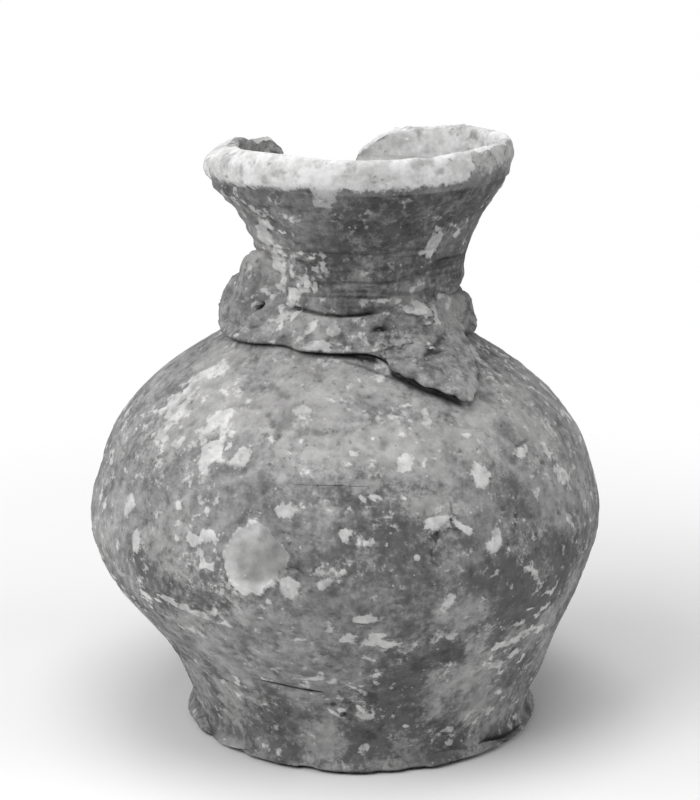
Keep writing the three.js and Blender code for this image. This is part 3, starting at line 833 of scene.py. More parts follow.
# Neck
# The thrown neck flares to the mouth and keeps the potter's finger rings. Darker clay shows through thin
# white coat that ran down from the rim, and the back is broken away.
RING_PITCH = 5.0
RING_DEPTH = 0.65
# The break seen from the front: across from the axis, and down from the ridge.
BREAK_OUTLINE = np.array([
    (-50, 0), (-46, 2), (-43, 3.8), (-40, 4.6), (-38, 6.6), (-36, 5.6), (-34, 5.9), (-31.5, 7.4),
    (-29.6, 9), (-28.5, 13), (-21, 18), (-3, 18), (-1, 12.5), (4, 8.5), (11, 4.6), (18, 3.2), (26, 2.2),
    (34, 0.6), (40, -4),
])
MOUTH_MIDDLE_RADIUS = 47.5
BREAK_START = 6.0
WHOLE_RISE = 9
COAT_EDGE = 190.0
DRIP_ANGLE = -103
DRIP_HALF_WIDTH = 6.5


def break_height(angle):
    """Height that the broken wall reaches at an angle: the break's outline read at the place across where
    the middle of the wall stands, and above the ridge where the mouth is whole."""
    across = MOUTH_MIDDLE_RADIUS * np.cos(angle) + NECK_LEAN
    down = np.interp(across, *BREAK_OUTLINE.T)
    return RIDGE - np.where(MOUTH_MIDDLE_RADIUS * np.sin(angle) > BREAK_START, down, -WHOLE_RISE)


def coat_edge(points, angle, height):
    """Above 0 under the white coat: it ends at a ragged line under the rim, runs down in a thin drip at the
    front, and thins out at the right and the back."""
    degrees = np.degrees(angle) + 4 * noise(points, 7, 40, 3)
    bare = 9 * ease(degrees, -52, -34) * (1 - ease(degrees, 20, 60)) + 3 * ease(degrees, 60, 100)
    edge = COAT_EDGE + bare + bells(angle, [(-72, 17, 0.8), (-135, 20, -0.7), (-165, 25, -0.9)])
    whole = (height - edge) / 3.2 + 0.24 * noise(points, 7, 41, 4)
    drip = np.clip(1 - (np.abs(degrees - DRIP_ANGLE) / DRIP_HALF_WIDTH) ** 4, 0, 1)
    return np.maximum(whole, 0.95 * drip * ease(height, 181.5, 184) - 0.75)


def band_head(angle):
    """Height of the band's upper edge: it sinks towards the front, and climbs the neck over the tail, where
    it is ragged."""
    ragged = bells(angle, [(-54, 17, 1.0)]) * (0.7 * np.sin(19 * angle) + 0.5 * np.sin(43 * angle + 1))
    return BAND_TOP + bells(angle, [(-98, 33, -3.2), (-50, 16, 4.4), (-150, 12, 2.7)]) + ragged


def groove_over_band(angle, height):
    """From 0 to 1 in the groove that a finger left in the neck along the band, at the front left: a bell up
    the wall, between two eased ends."""
    degrees = np.degrees(angle)
    reach = ease(degrees, -132, -122) * (1 - ease(degrees, -82, -76))
    return reach * bell(height - band_head(angle), 0.4, 0.55)


def ring_wave(points, height):
    """From 0 at a crest to 1 at the bottom of a finger ring: cosines one pitch apart that waver up and
    down."""
    waver = 0.8 * noise(points * (1, 1, 0.2), 30, 42, 2)
    return 0.5 - 0.5 * np.cos(2 * math.pi * (height + waver) / RING_PITCH)


def finger_rings(points, angle, height):
    """Depth of the finger rings: their wave, which fades in and out and towards the mouth, fine level lines,
    and the groove over the band."""
    depth = RING_DEPTH * (1.0 + 0.9 * noise(points * (1, 1, 2.5), 26, 43, 2))
    depth = depth * (1.1 - 0.75 * ease(height, 158, 172))
    fine_lines = 0.13 * noise(points * (0.1, 0.1, 1), 1.1, 44, 2)
    on_neck = ease(height, BAND_TOP - 3, BAND_TOP) * (1 - ease(height, 184, 188))
    rings = (ring_wave(points, height) * depth + fine_lines) * on_neck
    return rings + 0.9 * groove_over_band(angle, height)


def ring_shade_and_streaks(points, height):
    """Painted shade in level lines, one at the bottom of each finger ring, which fades in and out, and dark
    level streaks.
    """
    bottoms = ease(ring_wave(points, height), 0.86, 1.0)
    lines_here = 0.6 * bottoms * ease(noise(points * (1, 1, 2.5), 14, 53, 2), -0.5, 0.7)
    streaks_here = 0.4 * ease(noise(points * (0.12, 0.12, 1), 1.4, 52, 2), 0.35, 0.9)
    on_neck = (1 - ease(height, 162, 176)) * ease(height, BAND_TOP, BAND_TOP + 2)
    return np.maximum(lines_here, streaks_here) * on_neck


def straight_right(angle, height):
    """How much slimmer the neck is at the right: it runs straight out to the rim there, and it is fuller
    where it runs straight down into the pad. Both are bells round the jar and up the wall."""
    slim = bells(angle, [(-8, 45, 1.0)]) * bell(height, 185, 5)
    full = bells(angle, [(-5, 28, 1.5)]) * bell(height, 152.5, 4)
    return slim - full


def inner_swell(points):
    """The unevenness of the mouth's inside, which the neck and the rim share."""
    return 0.35 * noise(points, 8, 46, 3)


neck_clay = clay(
    "neck clay", (grey(82), grey(136)), film=(grey(128, 1), grey(166, 1)), coat=(grey(156), grey(190)),
    torn=(grey(120), grey(170)),
)
NECK_COLUMNS = 500
BREAK_LEVEL = 185
neck_angles = ring_angles(NECK_COLUMNS)
torn_bumps = noise(settle(45, neck_angles, BREAK_LEVEL + 0 * neck_angles), 4, 45, 3)
break_line = break_height(neck_angles) + sag(neck_angles, BREAK_LEVEL + 1)
is_torn = ease(MOUTH_JOINT - break_line, -0.5, 0.5)
neck_top = np.minimum(MOUTH_JOINT, break_line + 0.5 * torn_bumps * is_torn)
neck_rise = neck_top - NECK_JOINT
height = NECK_JOINT + neck_rise * even_steps(NECK_JOINT, MOUTH_JOINT, 0.5, wall_radius)[:, None]
angle = neck_angles + 0 * height
where = settle(wall_radius(height), angle, height)
rings = finger_rings(where, angle, height) * (1 - 0.85 * bells(angle, [(-5, 28, 1.0)]))
rings = rings + straight_right(angle, height) + 0.5 * ease(height, 183, 187)
outside, marks = outer_skin(angle, height, rings)
# Painted shade at the bottoms of the finger rings, in the groove over the band and under the rim's roll, and
# dark level streaks.
neck_shade_and_streaks = ring_shade_and_streaks(where, height) + 0.8 * groove_over_band(angle, height) + 0.25 * bell(height, 186, 1.8)
marks["hollow"] = np.clip(marks["hollow"] + neck_shade_and_streaks, 0, 1)
over_tail = bells(angle, [(-54, 18, 1.0)]) * ease(band_head(angle) + 7 - height, 0, 6)
marks["film"] = marks["film"] + 0.5 * over_tail
marks["cover"] = marks["cover"] + 0.25 * over_tail
marks["coat"] = coat_edge(where, angle, height)
marks["torn"] = ease(height - neck_top, -1.2, 0.2) * is_torn - 0.5
height = NECK_JOINT + neck_rise * even_steps(NECK_JOINT, MOUTH_JOINT, 0.9, inner_radius)[::-1, None]
angle = neck_angles + 0 * height
where = settle(inner_radius(height), angle, height)
outwards = np.stack([np.cos(angle), np.sin(angle), 0 * angle], axis=-1)
inside = where + outwards * inner_swell(where)[..., None]
inner_marks = {
    "cover": 0.25 * noise(where, 5, 47, 3) - 0.25 + 0.9 * ease(height, 178, 186),
    "film": 0.35 + 0.3 * noise(where, 12, 48, 3), "stain": 0.4 + 0.4 * noise(where, 14, 49, 3),
    "pits": 0.0, "shade": 0.0, "hollow": 0.2, "coat": (height - 168) / 8 + 0.5 * noise(where, 8, 50, 4),
    "torn": -0.5,
}
across = np.linspace(0, 1, 12)[1:-1, None]
roughness = 0.6 * np.sin(math.pi * across) * is_torn
roughness = roughness * noise(settle(46 - 5 * across, neck_angles, BREAK_LEVEL), 2.5, 51, 3)
top = rows_between(outside[-1:], inside[:1], across[..., None])
top[..., 2] += roughness
bottom = rows_between(inside[-1:], outside[:1], across[::3, :, None])
edge_marks = {
    "cover": -1.0, "film": 0.1, "stain": 0.3, "pits": 0.0, "shade": 0.0, "hollow": 0.0, "coat": -1.0,
    "torn": is_torn - 0.5,
}
joint_marks = dict.fromkeys(marks, -1.0)
marks = with_rows(marks, (len(top), edge_marks), (len(inside), inner_marks), (len(bottom), joint_marks))
neck = grid_object("neck_dressed", np.concatenate([outside, top, inside, bottom]), marks, wrap_rows=True)
finish_piece(neck, neck_clay, "neck_clay", "neck")


# Rim
# The thick roll that the potter turned over at the mouth, under a white coat. It is an open ring: its two
# torn ends stand over the gap that is broken out of the back.
RIM_RADIUS = 51.0
RIDGE_RADIUS = 47.7
WIDEST = 193.0
MOUTH_RADIUS = 49.8
ROLL_MIDDLE = (46.5, 193)
LEFT_END = 126.5
RIGHT_END = 90.3
LEAST_HEIGHT = 0.4
FULLNESS = 0.82
# The lobe at the left: its middle and half length in degrees, and how far it stands out and hangs inwards.
LOBE = (-176, 31)
LOBE_OUT = 1.1
LOBE_IN = 7.0
ROLL_COLUMNS = 78
ROLL_ROWS = 600
FLOOR_COLUMNS = 7
RIM_LEVEL = 195


def roll_section(turn):
    """Radius and height of the roll's section for a turn from 0 to 3: a quarter wave out to the widest, then
    quarters of superellipses over the ridge and down the inside."""
    inner_foot = inner_radius(MOUTH_JOINT)
    quarter = np.clip(turn, 0, 1) * math.pi / 2
    radius = MOUTH_RADIUS + (RIM_RADIUS - MOUTH_RADIUS) * np.sin(quarter)
    height = MOUTH_JOINT + (WIDEST - MOUTH_JOINT) * np.clip(turn, 0, 1)
    quarter = np.clip(turn - 1, 0, 1) * math.pi / 2
    out_share, up_share = np.abs(np.cos(quarter)) ** FULLNESS, np.sin(quarter) ** FULLNESS
    radius = np.where(turn > 1, RIDGE_RADIUS + (RIM_RADIUS - RIDGE_RADIUS) * out_share, radius)
    height = np.where(turn > 1, WIDEST + (RIDGE - WIDEST) * up_share, height)
    quarter = np.clip(turn - 2, 0, 1) * math.pi / 2
    in_share, down_share = np.sin(quarter) ** FULLNESS, np.abs(np.cos(quarter)) ** FULLNESS
    radius = np.where(turn > 2, RIDGE_RADIUS + (inner_foot - RIDGE_RADIUS) * in_share, radius)
    height = np.where(turn > 2, MOUTH_JOINT + (RIDGE - MOUTH_JOINT) * down_share, height)
    return radius, height


def capped(values, is_point):
    """Adds rows at both ends of the ring that close it: the end section drawn in to its middle for points,
    and repeated for marks."""
    shares = np.linspace(0, 1, 5)[:-1]
    ends = []
    for row in (values[0], values[-1]):
        middle = row.mean(axis=0) if is_point else row
        ends.append(np.stack([middle + (row - middle) * share for share in shares]))
    return np.concatenate([ends[0], values, ends[1][::-1]])


pale_coat = clay(
    "pale coat", (grey(90), grey(146)), film=(grey(170, 1), grey(208, 1)), coat=(grey(198), grey(230)),
    torn=(grey(52), grey(112)),
)
fine_turns = np.linspace(0, 3, 600)
fine_radius, fine_height = roll_section(fine_turns)
path = np.concatenate([[0], np.cumsum(np.hypot(np.diff(fine_radius), np.diff(fine_height)))])
turns = np.interp(np.linspace(0, path[-1], ROLL_COLUMNS), path, fine_turns)[None, :]
rim_angles = np.radians(np.linspace(LEFT_END - 360, RIGHT_END, ROLL_ROWS))[:, None]
rim_break = break_height(rim_angles) + sag(rim_angles, RIM_LEVEL + 1)
rim_break = rim_break - 0.4 + 0.35 * noise(settle(47, rim_angles, RIM_LEVEL), 3.5, 61, 3)
rim_break = np.maximum(rim_break, MOUTH_JOINT + LEAST_HEIGHT)
radius, height = roll_section(turns + 0 * rim_angles)
# Where the break crosses the section, the roll is cut off level between its outside and its inside.
rising, falling = fine_turns <= 2, fine_turns >= 2
crossing_out = np.interp(rim_break, fine_height[rising], fine_turns[rising])
crossing_in = np.interp(rim_break, fine_height[falling][::-1], fine_turns[falling][::-1])
cut_share = np.clip((turns - crossing_out) / np.maximum(crossing_in - crossing_out, 1e-6), 0, 1)
is_cut = (turns > crossing_out) & (turns < crossing_in) & (rim_break < RIDGE)
chord_out = roll_section(crossing_out)[0]
chord_in = roll_section(crossing_in)[0]
radius = np.where(is_cut, chord_out + (chord_in - chord_out) * cut_share, radius)
height = np.where(is_cut, rim_break, height)
lobe = bells(rim_angles, [(*LOBE, 1.0)])
radius = radius + lobe * LOBE_OUT * np.sin(math.pi * np.clip(turns / 2, 0, 1))
radius = radius - lobe * LOBE_IN * ease(turns, 1.1, 2.0) * (1 - ease(turns, 2.2, 3.0))
angle = rim_angles + 0 * height
where = settle(radius, angle, height)
marks = weather(where, angle, height)
skin_relief = marks.pop("relief")
relief = 0.5 * noise(where, 24, 62, 2) + 0.2 * noise(where, 7, 63, 3) + 0.09 * noise(where, 2.4, 66, 3)
relief = np.minimum(relief - 0.5, 0) - 0.3 * ease(noise(where, 2.2, 67, 2), 0.9, 1.2)
relief = relief - straight_right(rim_angles, height) * (turns < 1)
at_neck = 1 - ease(turns, 0, 0.4)
relief = relief * (1 - at_neck) + (skin_relief - 0.5) * at_neck
toward = np.stack([radius - ROLL_MIDDLE[0], height - ROLL_MIDDLE[1]], axis=-1)
toward = toward / np.linalg.norm(toward, axis=-1, keepdims=True)
toward[..., 0] = toward[..., 0] * (1 - at_neck) + 0.94 * at_neck
at_inner_foot = ease(turns, 2.55, 3.0)
outwards = relief * toward[..., 0] * (1 - at_inner_foot) + inner_swell(where) * at_inner_foot
upwards = relief * toward[..., 1] * ease(height, MOUTH_JOINT, MOUTH_JOINT + 2)
torn_rise = (0.6 + 0.65 * noise(where, 3.2, 64, 3)) * np.sin(math.pi * cut_share)
torn_rise = torn_rise * ease(RIDGE - rim_break, 0, 4)
radius = radius + np.where(is_cut, 0, outwards)
height = height + np.where(is_cut, torn_rise, upwards)
points = settle(radius, angle, height)
floor_share = np.linspace(0, 1, FLOOR_COLUMNS + 2)[None, 1:-1, None]
floor_points = rows_between(points[:, -1:], points[:, :1], floor_share)
degrees = np.degrees(rim_angles)
spread = noise(where, 6, 65, 4)
bare_side = 11 * ease(degrees + 4 * spread, -50, -40) * (1 - ease(degrees, 70, 90))
outer_coat = coat_edge(where, angle, height - bare_side) - 0.15 * ease(degrees, -50, -40)
is_outer = (turns < 1.75 + 0.15 * spread) & ~is_cut
coat = np.where(is_outer, outer_coat + 0.1 * spread, 0.6 + 0.25 * spread)
# The coat is worn on the ridge at the back left, on the lobe's face, and from the left round to the break.
coat = coat - 0.9 * ease(degrees, -232, -222) * (1 - ease(degrees, -200, -188)) * bell(turns, 1.35, 0.4)
coat = coat - bells(rim_angles, [(-166, 16, 1.0)]) * (turns < 1.9) * (0.5 + 0.7 * spread)
marks["coat"] = coat - 1.1 * ease(-degrees, 174, 188) * (0.8 + 0.5 * spread)
in_knobs = (degrees + 3 * spread < -211) & (turns > 1.0 + 0.1 * spread)
marks["torn"] = np.where(in_knobs, 0.5, -0.5)
veiled = ~in_knobs * ease(marks["coat"], -0.3, 0.1)
upper_film = (0.8 - 0.65 * bells(rim_angles, [(-196, 20, 1.0)])) * ease(height, 190, 195) + 0.3 * spread
bare_film = 0.6 * marks["film"] + upper_film
marks["film"] = np.clip(0.55 + 0.4 * spread, 0, 1) * veiled + bare_film * (1 - veiled)
marks["cover"] = marks["cover"] - 0.45
marks["stain"] = 0.5 * marks["stain"]
marks["shade"] = 0.6 * bells(rim_angles, [(-103, 7, 1.0)]) * (1 - ease(height, 188.5, 191.5))
points = capped(np.concatenate([points, floor_points], axis=1), True)
under_marks = {
    "cover": -1.0, "film": 0.0, "stain": 0.4, "pits": 0.0, "shade": 0.0, "coat": -1.0, "torn": -0.5,
    "hollow": 0.3,
}
marks = {
    mark: capped(np.concatenate([v, np.full((ROLL_ROWS, FLOOR_COLUMNS), under_marks[mark])], axis=1), False)
    for mark, v in marks.items()
}
rim = grid_object("rim_dressed", points, marks, poles=True)
finish_piece(rim, pale_coat, "pale_coat", "rim")


# Neck band
# A strip of soft clay pressed round the root of the neck over the joint. Fingers dented it, its upper edge is
# rubbed into the neck, and its lower edge stands off the shoulder.
BAND_THICKNESS = 3.4
BAND_COLUMNS = 640
BAND_ROWS = 60
BAND_SKIN = 0.35
PINCH = (-75.3, 142.1)
HOLE_ANGLE = -141.8
HOLE_HEIGHT = 146.9
HOLE_RADIUS = 38
HOLE_DEPTH = 5.5
TAIL_MIDDLE = -48
TAIL_LEVEL = NECK_JOINT - 3


def cord_hole(angle, height):
    """The hole that a cord left and the curl of clay round it: a deep narrow bell in a shallow wide one, a
    raised arc on its left, and a crease that leaves it downwards. Above 0 stands out, below 0 goes in."""
    along = np.radians(turn_from(angle, HOLE_ANGLE)) * HOLE_RADIUS
    up = height - HOLE_HEIGHT
    out = np.hypot(along, up)
    hole = HOLE_DEPTH * np.exp(-((along - 0.15 * up) ** 2) / 0.6**2 - up**2 / 1.25**2)
    dish = bell(out, 0, 2.2)
    curl = 0.7 * bell(out, 3.2, 0.8) * ease(-along, 0.4, 2.2)
    crease = bell(along, 0.45 * (up + 1.5), 0.5) * ease(-up, 0.8, 2.0) * (1 - ease(-up, 3.2, 4.6))
    return curl - hole - dish - 0.5 * crease


def hole_dark(depth):
    """Painted shade in the hole: an ease over its depth, which is below 0 there."""
    return ease(-depth, 1.3, 2.7)


def tail_fold(along, up):
    """Depth and painted shadow of the fold: a step down below a line that climbs to the right, which fades
    away downwards, and a short level crack under it."""
    below = 0.345 * along - up
    beside = ease(along, -9, -5.5) * (1 - ease(along, 5, 7.5))
    step = ease(below, -0.4, 0.9) * bell(np.maximum(below, 0), 0, 3.2) * beside
    dark = bell(below, 0.6, 1.2) * beside
    crack = bell(up, -2.7, 0.3) * ease(along, -4, -2) * (1 - ease(along, 1, 3))
    return 1.8 * step + 0.4 * crack, 0.55 * dark + 0.6 * crack


pressed_clay = clay("pressed clay", (grey(98), grey(160)), film=(grey(148, 1), grey(182, 1)))
band_angles = ring_angles(BAND_COLUMNS)
low_edge = band_foot(band_angles)
high_edge = band_head(band_angles)
swell = 1 + bells(band_angles, [(-148, 13, 0.8), (-62, 14, 0.45), (-108, 12, 0.12), (170, 20, 0.5)])
section = np.linspace(0, 1, BAND_ROWS)[:, None]
height = low_edge + (high_edge - low_edge) * section
angle = band_angles + 0 * height
smear = bells(band_angles, [(-58, 20, 1.0)])
bulge = np.cbrt(1 - np.abs(2 * section - 1) ** 6) * (1 - smear * ease(section, 0.35, 1.0))
where = settle(wall_radius(height) + 2, angle, height)
lumps = noise(where, 3.6, 72, 4)
dents = 1 + 0.16 * noise(where, 9, 71, 3) + smear * 0.9 * lumps
thickness = BAND_SKIN + BAND_THICKNESS * bulge * (1 - 0.45 * section) * swell * dents
pinch_out = np.hypot(side_step(angle, *PINCH) / 1.6, height - PINCH[1])
thickness = thickness - 0.9 * bell(pinch_out, 0, 1.1)
recess = bells(band_angles, [(-119, 5, 1.0)]) * (1 - ease(section, 0.25, 0.5))
hole = cord_hole(angle, height)
fold_depth, fold_dark = tail_fold(side_step(angle, TAIL_MIDDLE, TAIL_LEVEL), height - TAIL_LEVEL)
sunk_edge = smear * ease(section, 0.7, 1.0)
thickness = np.maximum(thickness - 0.9 * recess + hole - fold_depth, 0.15) - 1.1 * sunk_edge
marks = weather(where, angle, height)
relief = marks.pop("relief") + 0.25
# Painted shade in the cord hole and the pinch, painted shadow along the tail's fold and in the smear's low
# lumps, and painted shade in the recess and along the band's foot.
cleft = hole_dark(hole) + bell(pinch_out, 0.7, 0.8) * (height > PINCH[1] - 0.4)
cleft = cleft + fold_dark + 0.6 * smear * ease(-lumps, 0.15, 0.8)
at_foot = ease(0.12 - section, 0, 0.1)
marks["hollow"] = np.clip(marks["hollow"] + cleft + 0.6 * recess + 0.5 * at_foot, 0, 1)
marks["stain"] = np.clip(marks["stain"] + 0.1 * smear + 0.4 * sunk_edge, 0, 1.6)
marks["cover"] = marks["cover"] + smear * (0.12 + 0.4 * lumps)
outside = settle(wall_radius(height) + thickness + relief, angle, height)
back_section = np.linspace(1, 0, 14)[:, None]
back_height = low_edge + 1.8 + (high_edge - low_edge - 2.4) * back_section
inside = settle(wall_radius(back_height) - 0.9, band_angles + 0 * back_height, back_height)
# The band's faces other than its outside are painted fully dark as shade.
band = closed_ring("band_dressed", outside, inside, marks, {**dict.fromkeys(marks, -1.0), "hollow": 1.0})
finish_piece(band, pressed_clay, "pressed_clay", "neck_band")


# Knot
# Two lobes of clay at the left, where the ends of the band were pinched together round a cord hole: the inner
# lobe, into which the band runs, and the outer one tucked behind it.
EDGE_SINK = 1.5
INNER_LOBE_OUTLINE = [
    (14.5, -2), (9.5, 8), (2, 15.5), (-7, 10), (-10, -1), (-7, -10), (2, -11.5), (10.5, -10),
]
OUTER_LOBE_OUTLINE = [(11, 0), (7, 8), (0, 9.5), (-8, 6), (-10, -1), (-5, -8), (6, -9)]


def closed_curve(corners, shares):
    """A closed Catmull-Rom curve through corners, read at shares of a full turn."""
    corners = np.array(corners, float)
    count = len(corners)
    place = (shares % 1) * count
    i = np.floor(place).astype(int) % count
    t = (place - np.floor(place))[..., None]
    p0, p1, p2, p3 = (corners[(i + k) % count] for k in (-1, 0, 1, 2))
    squared_part = (2 * p0 - 5 * p1 + 4 * p2 - p3) * t**2
    cubed_part = (3 * p1 - p0 - 3 * p2 + p3) * t**3
    return 0.5 * (2 * p1 + (p2 - p0) * t + squared_part + cubed_part)


def grid_normals(points):
    """Unit normals of a grid whose columns close: the cross product of the steps down and along it."""
    down = np.gradient(points, axis=0)
    along = np.roll(points, -1, 1) - np.roll(points, 1, 1)
    normal = np.cross(along, down)
    return normal / np.maximum(np.linalg.norm(normal, axis=-1, keepdims=True), 1e-9)


def nothing(along, up):
    """No undercut, nothing rubbed away: 0 everywhere."""
    return 0 * along


def pressed_pad(name, middle, level, outline, thickness, bluntness, hug, seed, tilt=0, dents=(), fold=None,
                undercut=nothing, thin=nothing, rows=110, columns=260, rough=0.4):
    """A pad of clay pressed on the wall: a pillow whose outline is given along and up the wall round its
    middle, with two sine waves on it. Its face stands off by the thickness times a power of the cosine from
    the middle to the edge, in a direction tilted up by some degrees. With a hug of 1 it follows the wall's
    slope, and with 0 it stands upright at the radius of its middle. Dents, given as along, up, two half
    lengths, turn and depth, are bells taken out of it, with painted shade in them. An undercut edge stands
    off the wall, thin gives the share that is rubbed away at a place, and fold the depth and painted shadow
    of a fold. The cord hole is painted dark as shade, and so is the whole underside."""
    rounds = np.linspace(0, 1, columns, endpoint=False)[None, :]
    lat = np.linspace(0, math.pi, rows)[:, None]
    reach = np.sin(lat)
    waves = 0.012 * np.sin(14 * math.pi * rounds + seed) + 0.018 * np.sin(38 * math.pi * rounds + 2 * seed)
    corner = closed_curve(outline, rounds + 0 * lat) * (reach * (1 + waves))[..., None]
    along, up = corner[..., 0], corner[..., 1]
    upper_share = np.clip(np.cos(lat), 0, 1) ** bluntness
    lift = undercut(along, up)
    tucked = ease(lat, math.pi / 2 + 0.2, math.pi / 2 + 0.6)
    fullness = np.where(lat < math.pi / 2, (1 - lift) * upper_share + lift, lift * (1 - tucked))
    fullness = fullness * (1 - thin(along, up))
    swell = fullness * (1 - hug)
    stand_off = fullness * thickness - 0.9 * tucked - EDGE_SINK * (1 - ease(fullness, 0, 0.4))
    shade = 0 * along
    on_face = ease(math.pi / 2 - lat, 0, 0.2)
    for dent_along, dent_up, half_along, half_up, turn, depth in dents:
        dent = on_face * depth * tilted_bell(along - dent_along, up - dent_up, half_along, half_up, turn)
        stand_off = stand_off - dent
        shade = shade + 0.45 * dent
    if fold:
        fold_depth, fold_dark = fold(along, up)
        stand_off = stand_off - on_face * fold_depth
        shade = shade + on_face * fold_dark
    middle_radius = wall_radius(level)
    height = level + up
    angle = math.radians(middle) + along / middle_radius
    hole = cord_hole(angle, height) * on_face
    stand_off = stand_off + hole
    tilted = math.radians(tilt)
    radius = wall_radius(height) * (1 - swell) + middle_radius * swell + stand_off * math.cos(tilted)
    lifted = height + stand_off * math.sin(tilted)
    where = np.stack([radius * np.cos(angle) + lean(height), radius * np.sin(angle), lifted], axis=-1)
    marks = weather(where, angle, lifted)
    marks["cover"] = marks["cover"] - 0.2
    calm = ease(reach, 0, 0.15)
    relief = marks.pop("relief") + rough * noise(where, 5, seed, 4) * np.clip(reach * 1.5, 0, 1)
    relief = relief * calm + relief[:1].mean() * (1 - calm)
    # Painted shade in the dents, the fold and the cord hole, and over the whole underside of the pad.
    marks["hollow"] = np.clip(marks["hollow"] + shade + hole_dark(hole), 0, 1)
    marks["hollow"] = np.where(lat > math.pi / 2, 1.0, marks["hollow"])
    points = where + grid_normals(where) * relief[..., None]
    points[0] = points[0].mean(axis=0)
    points[-1] = points[-1].mean(axis=0)
    return grid_object(name, points, marks, poles=True)


def rubbed_into_band(along, up):
    """The inner lobe thins out to the right, where it is rubbed into the band and the neck."""
    return 0.7 * ease(along + 0.5 * up, 4, 14)


inner_lobe = pressed_pad(
    "knot_inner_dressed", -156, NECK_JOINT + 10, INNER_LOBE_OUTLINE, thickness=9.0, bluntness=0.7, hug=0,
    tilt=6, dents=[(-6, 5, 4, 2, 60, 0.9), (-4, -2, 1.2, 5, 15, 0.6)], thin=rubbed_into_band, seed=81,
)
finish_piece(inner_lobe, pressed_clay, "pressed_clay", "knot_inner_lobe")
outer_lobe = pressed_pad(
    "knot_outer_dressed", 175, NECK_JOINT + 6.5, OUTER_LOBE_OUTLINE, thickness=10.2, bluntness=0.7, hug=0,
    dents=[(5, 3, 3, 2, 0, 1.2), (-2, -3, 4, 2, 30, 0.8)], seed=84,
)
finish_piece(outer_lobe, pressed_clay, "pressed_clay", "knot_outer_lobe")


# Rear pad
# A low pad of soft clay at the right, on the far side of the tail, where the other end of the band was
# pressed down. It thins out towards the tail.
REAR_PAD_OUTLINE = [(12, -0.5), (8, 3.8), (-4, 6.2), (-15, 7.6), (-20, 1), (-12, -5), (7, -4.5)]


def thin_towards_tail(along, up):
    """The share rubbed away: an eased step along the pad."""
    return 0.7 * ease(-along, 8, 18)


rear_pad = pressed_pad(
    "rear_pad_dressed", 8, NECK_JOINT + 2, REAR_PAD_OUTLINE, thickness=5.9, bluntness=0.8, hug=1,
    thin=thin_towards_tail, rows=90, columns=220, rough=0.35, seed=87,
)
finish_piece(rear_pad, pressed_clay, "pressed_clay", "rear_pad")


# Tail
# The torn tongue at the right of the front, which leaves the neck over the band and lies on the shoulder with
# its point down. Its lower edge stands off the shoulder, and a fold makes a three-cornered hollow in it.
TAIL_OUTLINE = [
    (18.5, 3), (12, 11), (0, 14), (-10, 12.5), (-16.5, 4), (-16.3, -4.6), (-11.3, -8.2), (-4.9, -12.9),
    (-1.5, -13.8), (6.4, -8.6), (12.8, -3.4),
]


def tail_undercut(along, up):
    """How far the edge stands off, as a share of the thickness: much along the lower left, from the band to
    the point, a little along the right, and not at all at the root."""
    lower_left = 0.5 * ease(-up - 0.5 * along, 1.5, 5.5) * ease(6 - along, 0, 8)
    return lower_left + 0.1 * ease(-up + 0.4 * along, 0, 6)


def thin_at_root(along, up):
    """The tail thins out upwards and to the left, where it is rubbed into the band."""
    return np.maximum(0.85 * ease(up, 2, 13), 0.6 * ease(-along, 6, 15) * ease(up, -5, -1))


tail = pressed_pad(
    "tail_dressed", TAIL_MIDDLE, TAIL_LEVEL, TAIL_OUTLINE, thickness=4.0, bluntness=0.3, hug=1, tilt=35,
    dents=[(-7, 4, 2.5, 1.5, 0, 0.6), (-12, -1, 3, 1.2, 60, 0.5)], fold=tail_fold,
    undercut=tail_undercut, thin=thin_at_root, rows=150, columns=420, rough=0.28, seed=90,
)
finish_piece(tail, pressed_clay, "pressed_clay", "neck_tail")


# Joint strips
# Coils of soft clay that seal the joints inside, smeared on with a finger: one fills the corner between slab
# and foot, one lies over the belly's joint and one under the neck's.
STRIP_COLUMNS = 240
STRIP_ROWS = 14
STRIP_SEED = 95


def corner_fill(share):
    """Thickness of the strip over the slab: a falling parabola that fills the corner."""
    return 0.5 + 8.5 * (1 - share) ** 2


def belly_smear(share):
    """Thickness of the strip over the belly's joint: half a sine wave."""
    return 0.5 + 2.7 * np.sin(math.pi * share)


def neck_smear(share):
    """Thickness of the strip under the neck's joint: half a sine wave."""
    return 0.5 + 2.1 * np.sin(math.pi * share)


def inside_strip(name, low, high, thickness, seed):
    """A ring on the inside of the wall: its back lies on the wall, and its face stands off by its thickness,
    dented by noise."""
    share = np.linspace(0, 1, STRIP_ROWS)[:, None]
    height = low + (high - low) * share
    angle = ring_angles(STRIP_COLUMNS) + 0 * height
    face = thickness(share) * (1 + 0.25 * noise(settle(inner_radius(height), angle, height), 8, seed, 3))
    front = settle(inner_radius(height) - 0.3 - face, angle, height)
    back = settle(inner_radius(height) - 0.2, angle, height)[::-1]
    marks = {"cover": -1.0, "film": 0.3, "stain": 0.4, "pits": 0.0, "hollow": 0.3}
    return grid_object(name, np.concatenate([front, back]), marks, wrap_rows=True)


inner_clay = clay("inner clay", (grey(84), grey(124)), film=(grey(114, 1), grey(142, 1)))
STRIPS = [
    ("base_strip_dressed", "base_joint_strip", SLAB_TOP + 0.2, SLAB_TOP + 8.2, corner_fill),
    ("belly_strip_dressed", "belly_joint_strip", BELLY_JOINT - 7, BELLY_JOINT + 7, belly_smear),
    ("neck_strip_dressed", "neck_joint_strip", NECK_JOINT - 5, NECK_JOINT + 5, neck_smear),
]
for number, (name, node, low, high, thickness) in enumerate(STRIPS):
    strip = inside_strip(name, low, high, thickness, STRIP_SEED + number)
    finish_piece(strip, inner_clay, "inner_clay", node)


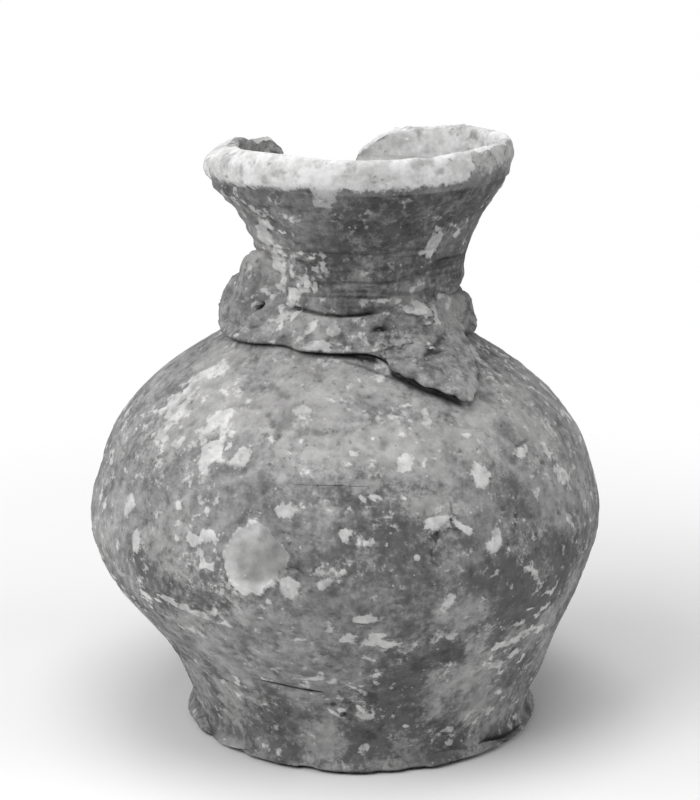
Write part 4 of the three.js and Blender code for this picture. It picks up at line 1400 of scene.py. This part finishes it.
# Floor, light and camera
# White paper under and behind the jar, a large soft lamp at the upper left, and the photograph's view.
# Lengths are in metres from here on.
FLOOR_HALF = 9.0
PAPER_WHITE = (0.86, 0.86, 0.86, 1)
PURE_WHITE = (1, 1, 1, 1)
FLOOR_FADE = (0.1, 0.4)
SKY_LIGHT = 0.03
AIM = (0, 0, 0.1)


def seen_by_camera(tree):
    """1 for rays from the camera and from gloss, which see pure white, and 0 for the rays that light."""
    ray = shade_node(tree, "LightPath").outputs
    return maths(tree, "MAXIMUM", ray["Is Camera Ray"], ray["Is Glossy Ray"])


floor_mesh = bpy.data.meshes.new("floor")
floor_corners = [(x * FLOOR_HALF, y * FLOOR_HALF, 0) for x, y in ((-1, -1), (1, -1), (1, 1), (-1, 1))]
floor_mesh.from_pydata(floor_corners, [], [(0, 1, 2, 3)])
floor = bpy.data.objects.new("floor", floor_mesh)
bpy.context.scene.collection.objects.link(floor)
paper = bpy.data.materials.new("paper")
paper.use_nodes = True
tree = paper.node_tree
tree.nodes.clear()
spread = shade_node(tree, "TexCoord").outputs["Object"]
distance = shade_node(tree, "VectorMath", {0: spread}, operation="LENGTH").outputs["Value"]
far = maths(tree, "MULTIPLY", ramped(tree, distance, *FLOOR_FADE), seen_by_camera(tree))
matt = shade_node(tree, "BsdfDiffuse", {"Color": PAPER_WHITE})
white = shade_node(tree, "Emission", {"Color": PURE_WHITE, "Strength": 1.0})
surface = shade_node(tree, "MixShader", {0: far, 1: matt.outputs[0], 2: white.outputs[0]})
shade_node(tree, "OutputMaterial", {"Surface": surface.outputs[0]})
floor_mesh.materials.append(paper)

world = bpy.data.worlds.new("studio")
bpy.context.scene.world = world
world.use_nodes = True
tree = world.node_tree
tree.nodes.clear()
shown = maths(tree, "MULTIPLY", seen_by_camera(tree), 1 - SKY_LIGHT)
sky = shade_node(tree, "Background", {"Color": PURE_WHITE, "Strength": maths(tree, "ADD", shown, SKY_LIGHT)})
shade_node(tree, "OutputWorld", {"Surface": sky.outputs[0]})


def soft_lamp(name, place, size, power):
    """A square area lamp that looks at the jar's middle."""
    lamp = bpy.data.lights.new(name, "AREA")
    lamp.size = size
    lamp.energy = power
    holder = bpy.data.objects.new(name, lamp)
    away = np.array(place) - np.array(AIM)
    holder.location = place
    from_upright = math.atan2(math.hypot(away[0], away[1]), away[2])
    holder.rotation_euler = (from_upright, 0, math.atan2(away[0], -away[1]))
    bpy.context.scene.collection.objects.link(holder)


soft_lamp("top", (-0.05, -0.15, 1.4), size=1.0, power=12.5)
soft_lamp("front left", (-0.8, -0.8, 1.0), size=0.7, power=9.5)
soft_lamp("left", (-1.2, -0.2, 0.8), size=0.7, power=6)
soft_lamp("right", (1.1, -0.3, 0.8), size=0.8, power=6)

LENS = 92.7
SENSOR_WIDTH = 36
EYE = (-0.00411, -0.675, 0.286)
LOOK_DOWN = 14.62
camera = bpy.data.cameras.new("camera")
camera.lens = LENS
camera.sensor_width = SENSOR_WIDTH
eye = bpy.data.objects.new("camera", camera)
eye.location = EYE
eye.rotation_euler = (math.radians(90 - LOOK_DOWN), 0, 0)
bpy.context.scene.collection.objects.link(eye)
bpy.context.scene.camera = eye
bpy.context.scene.view_settings.view_transform = "Standard"
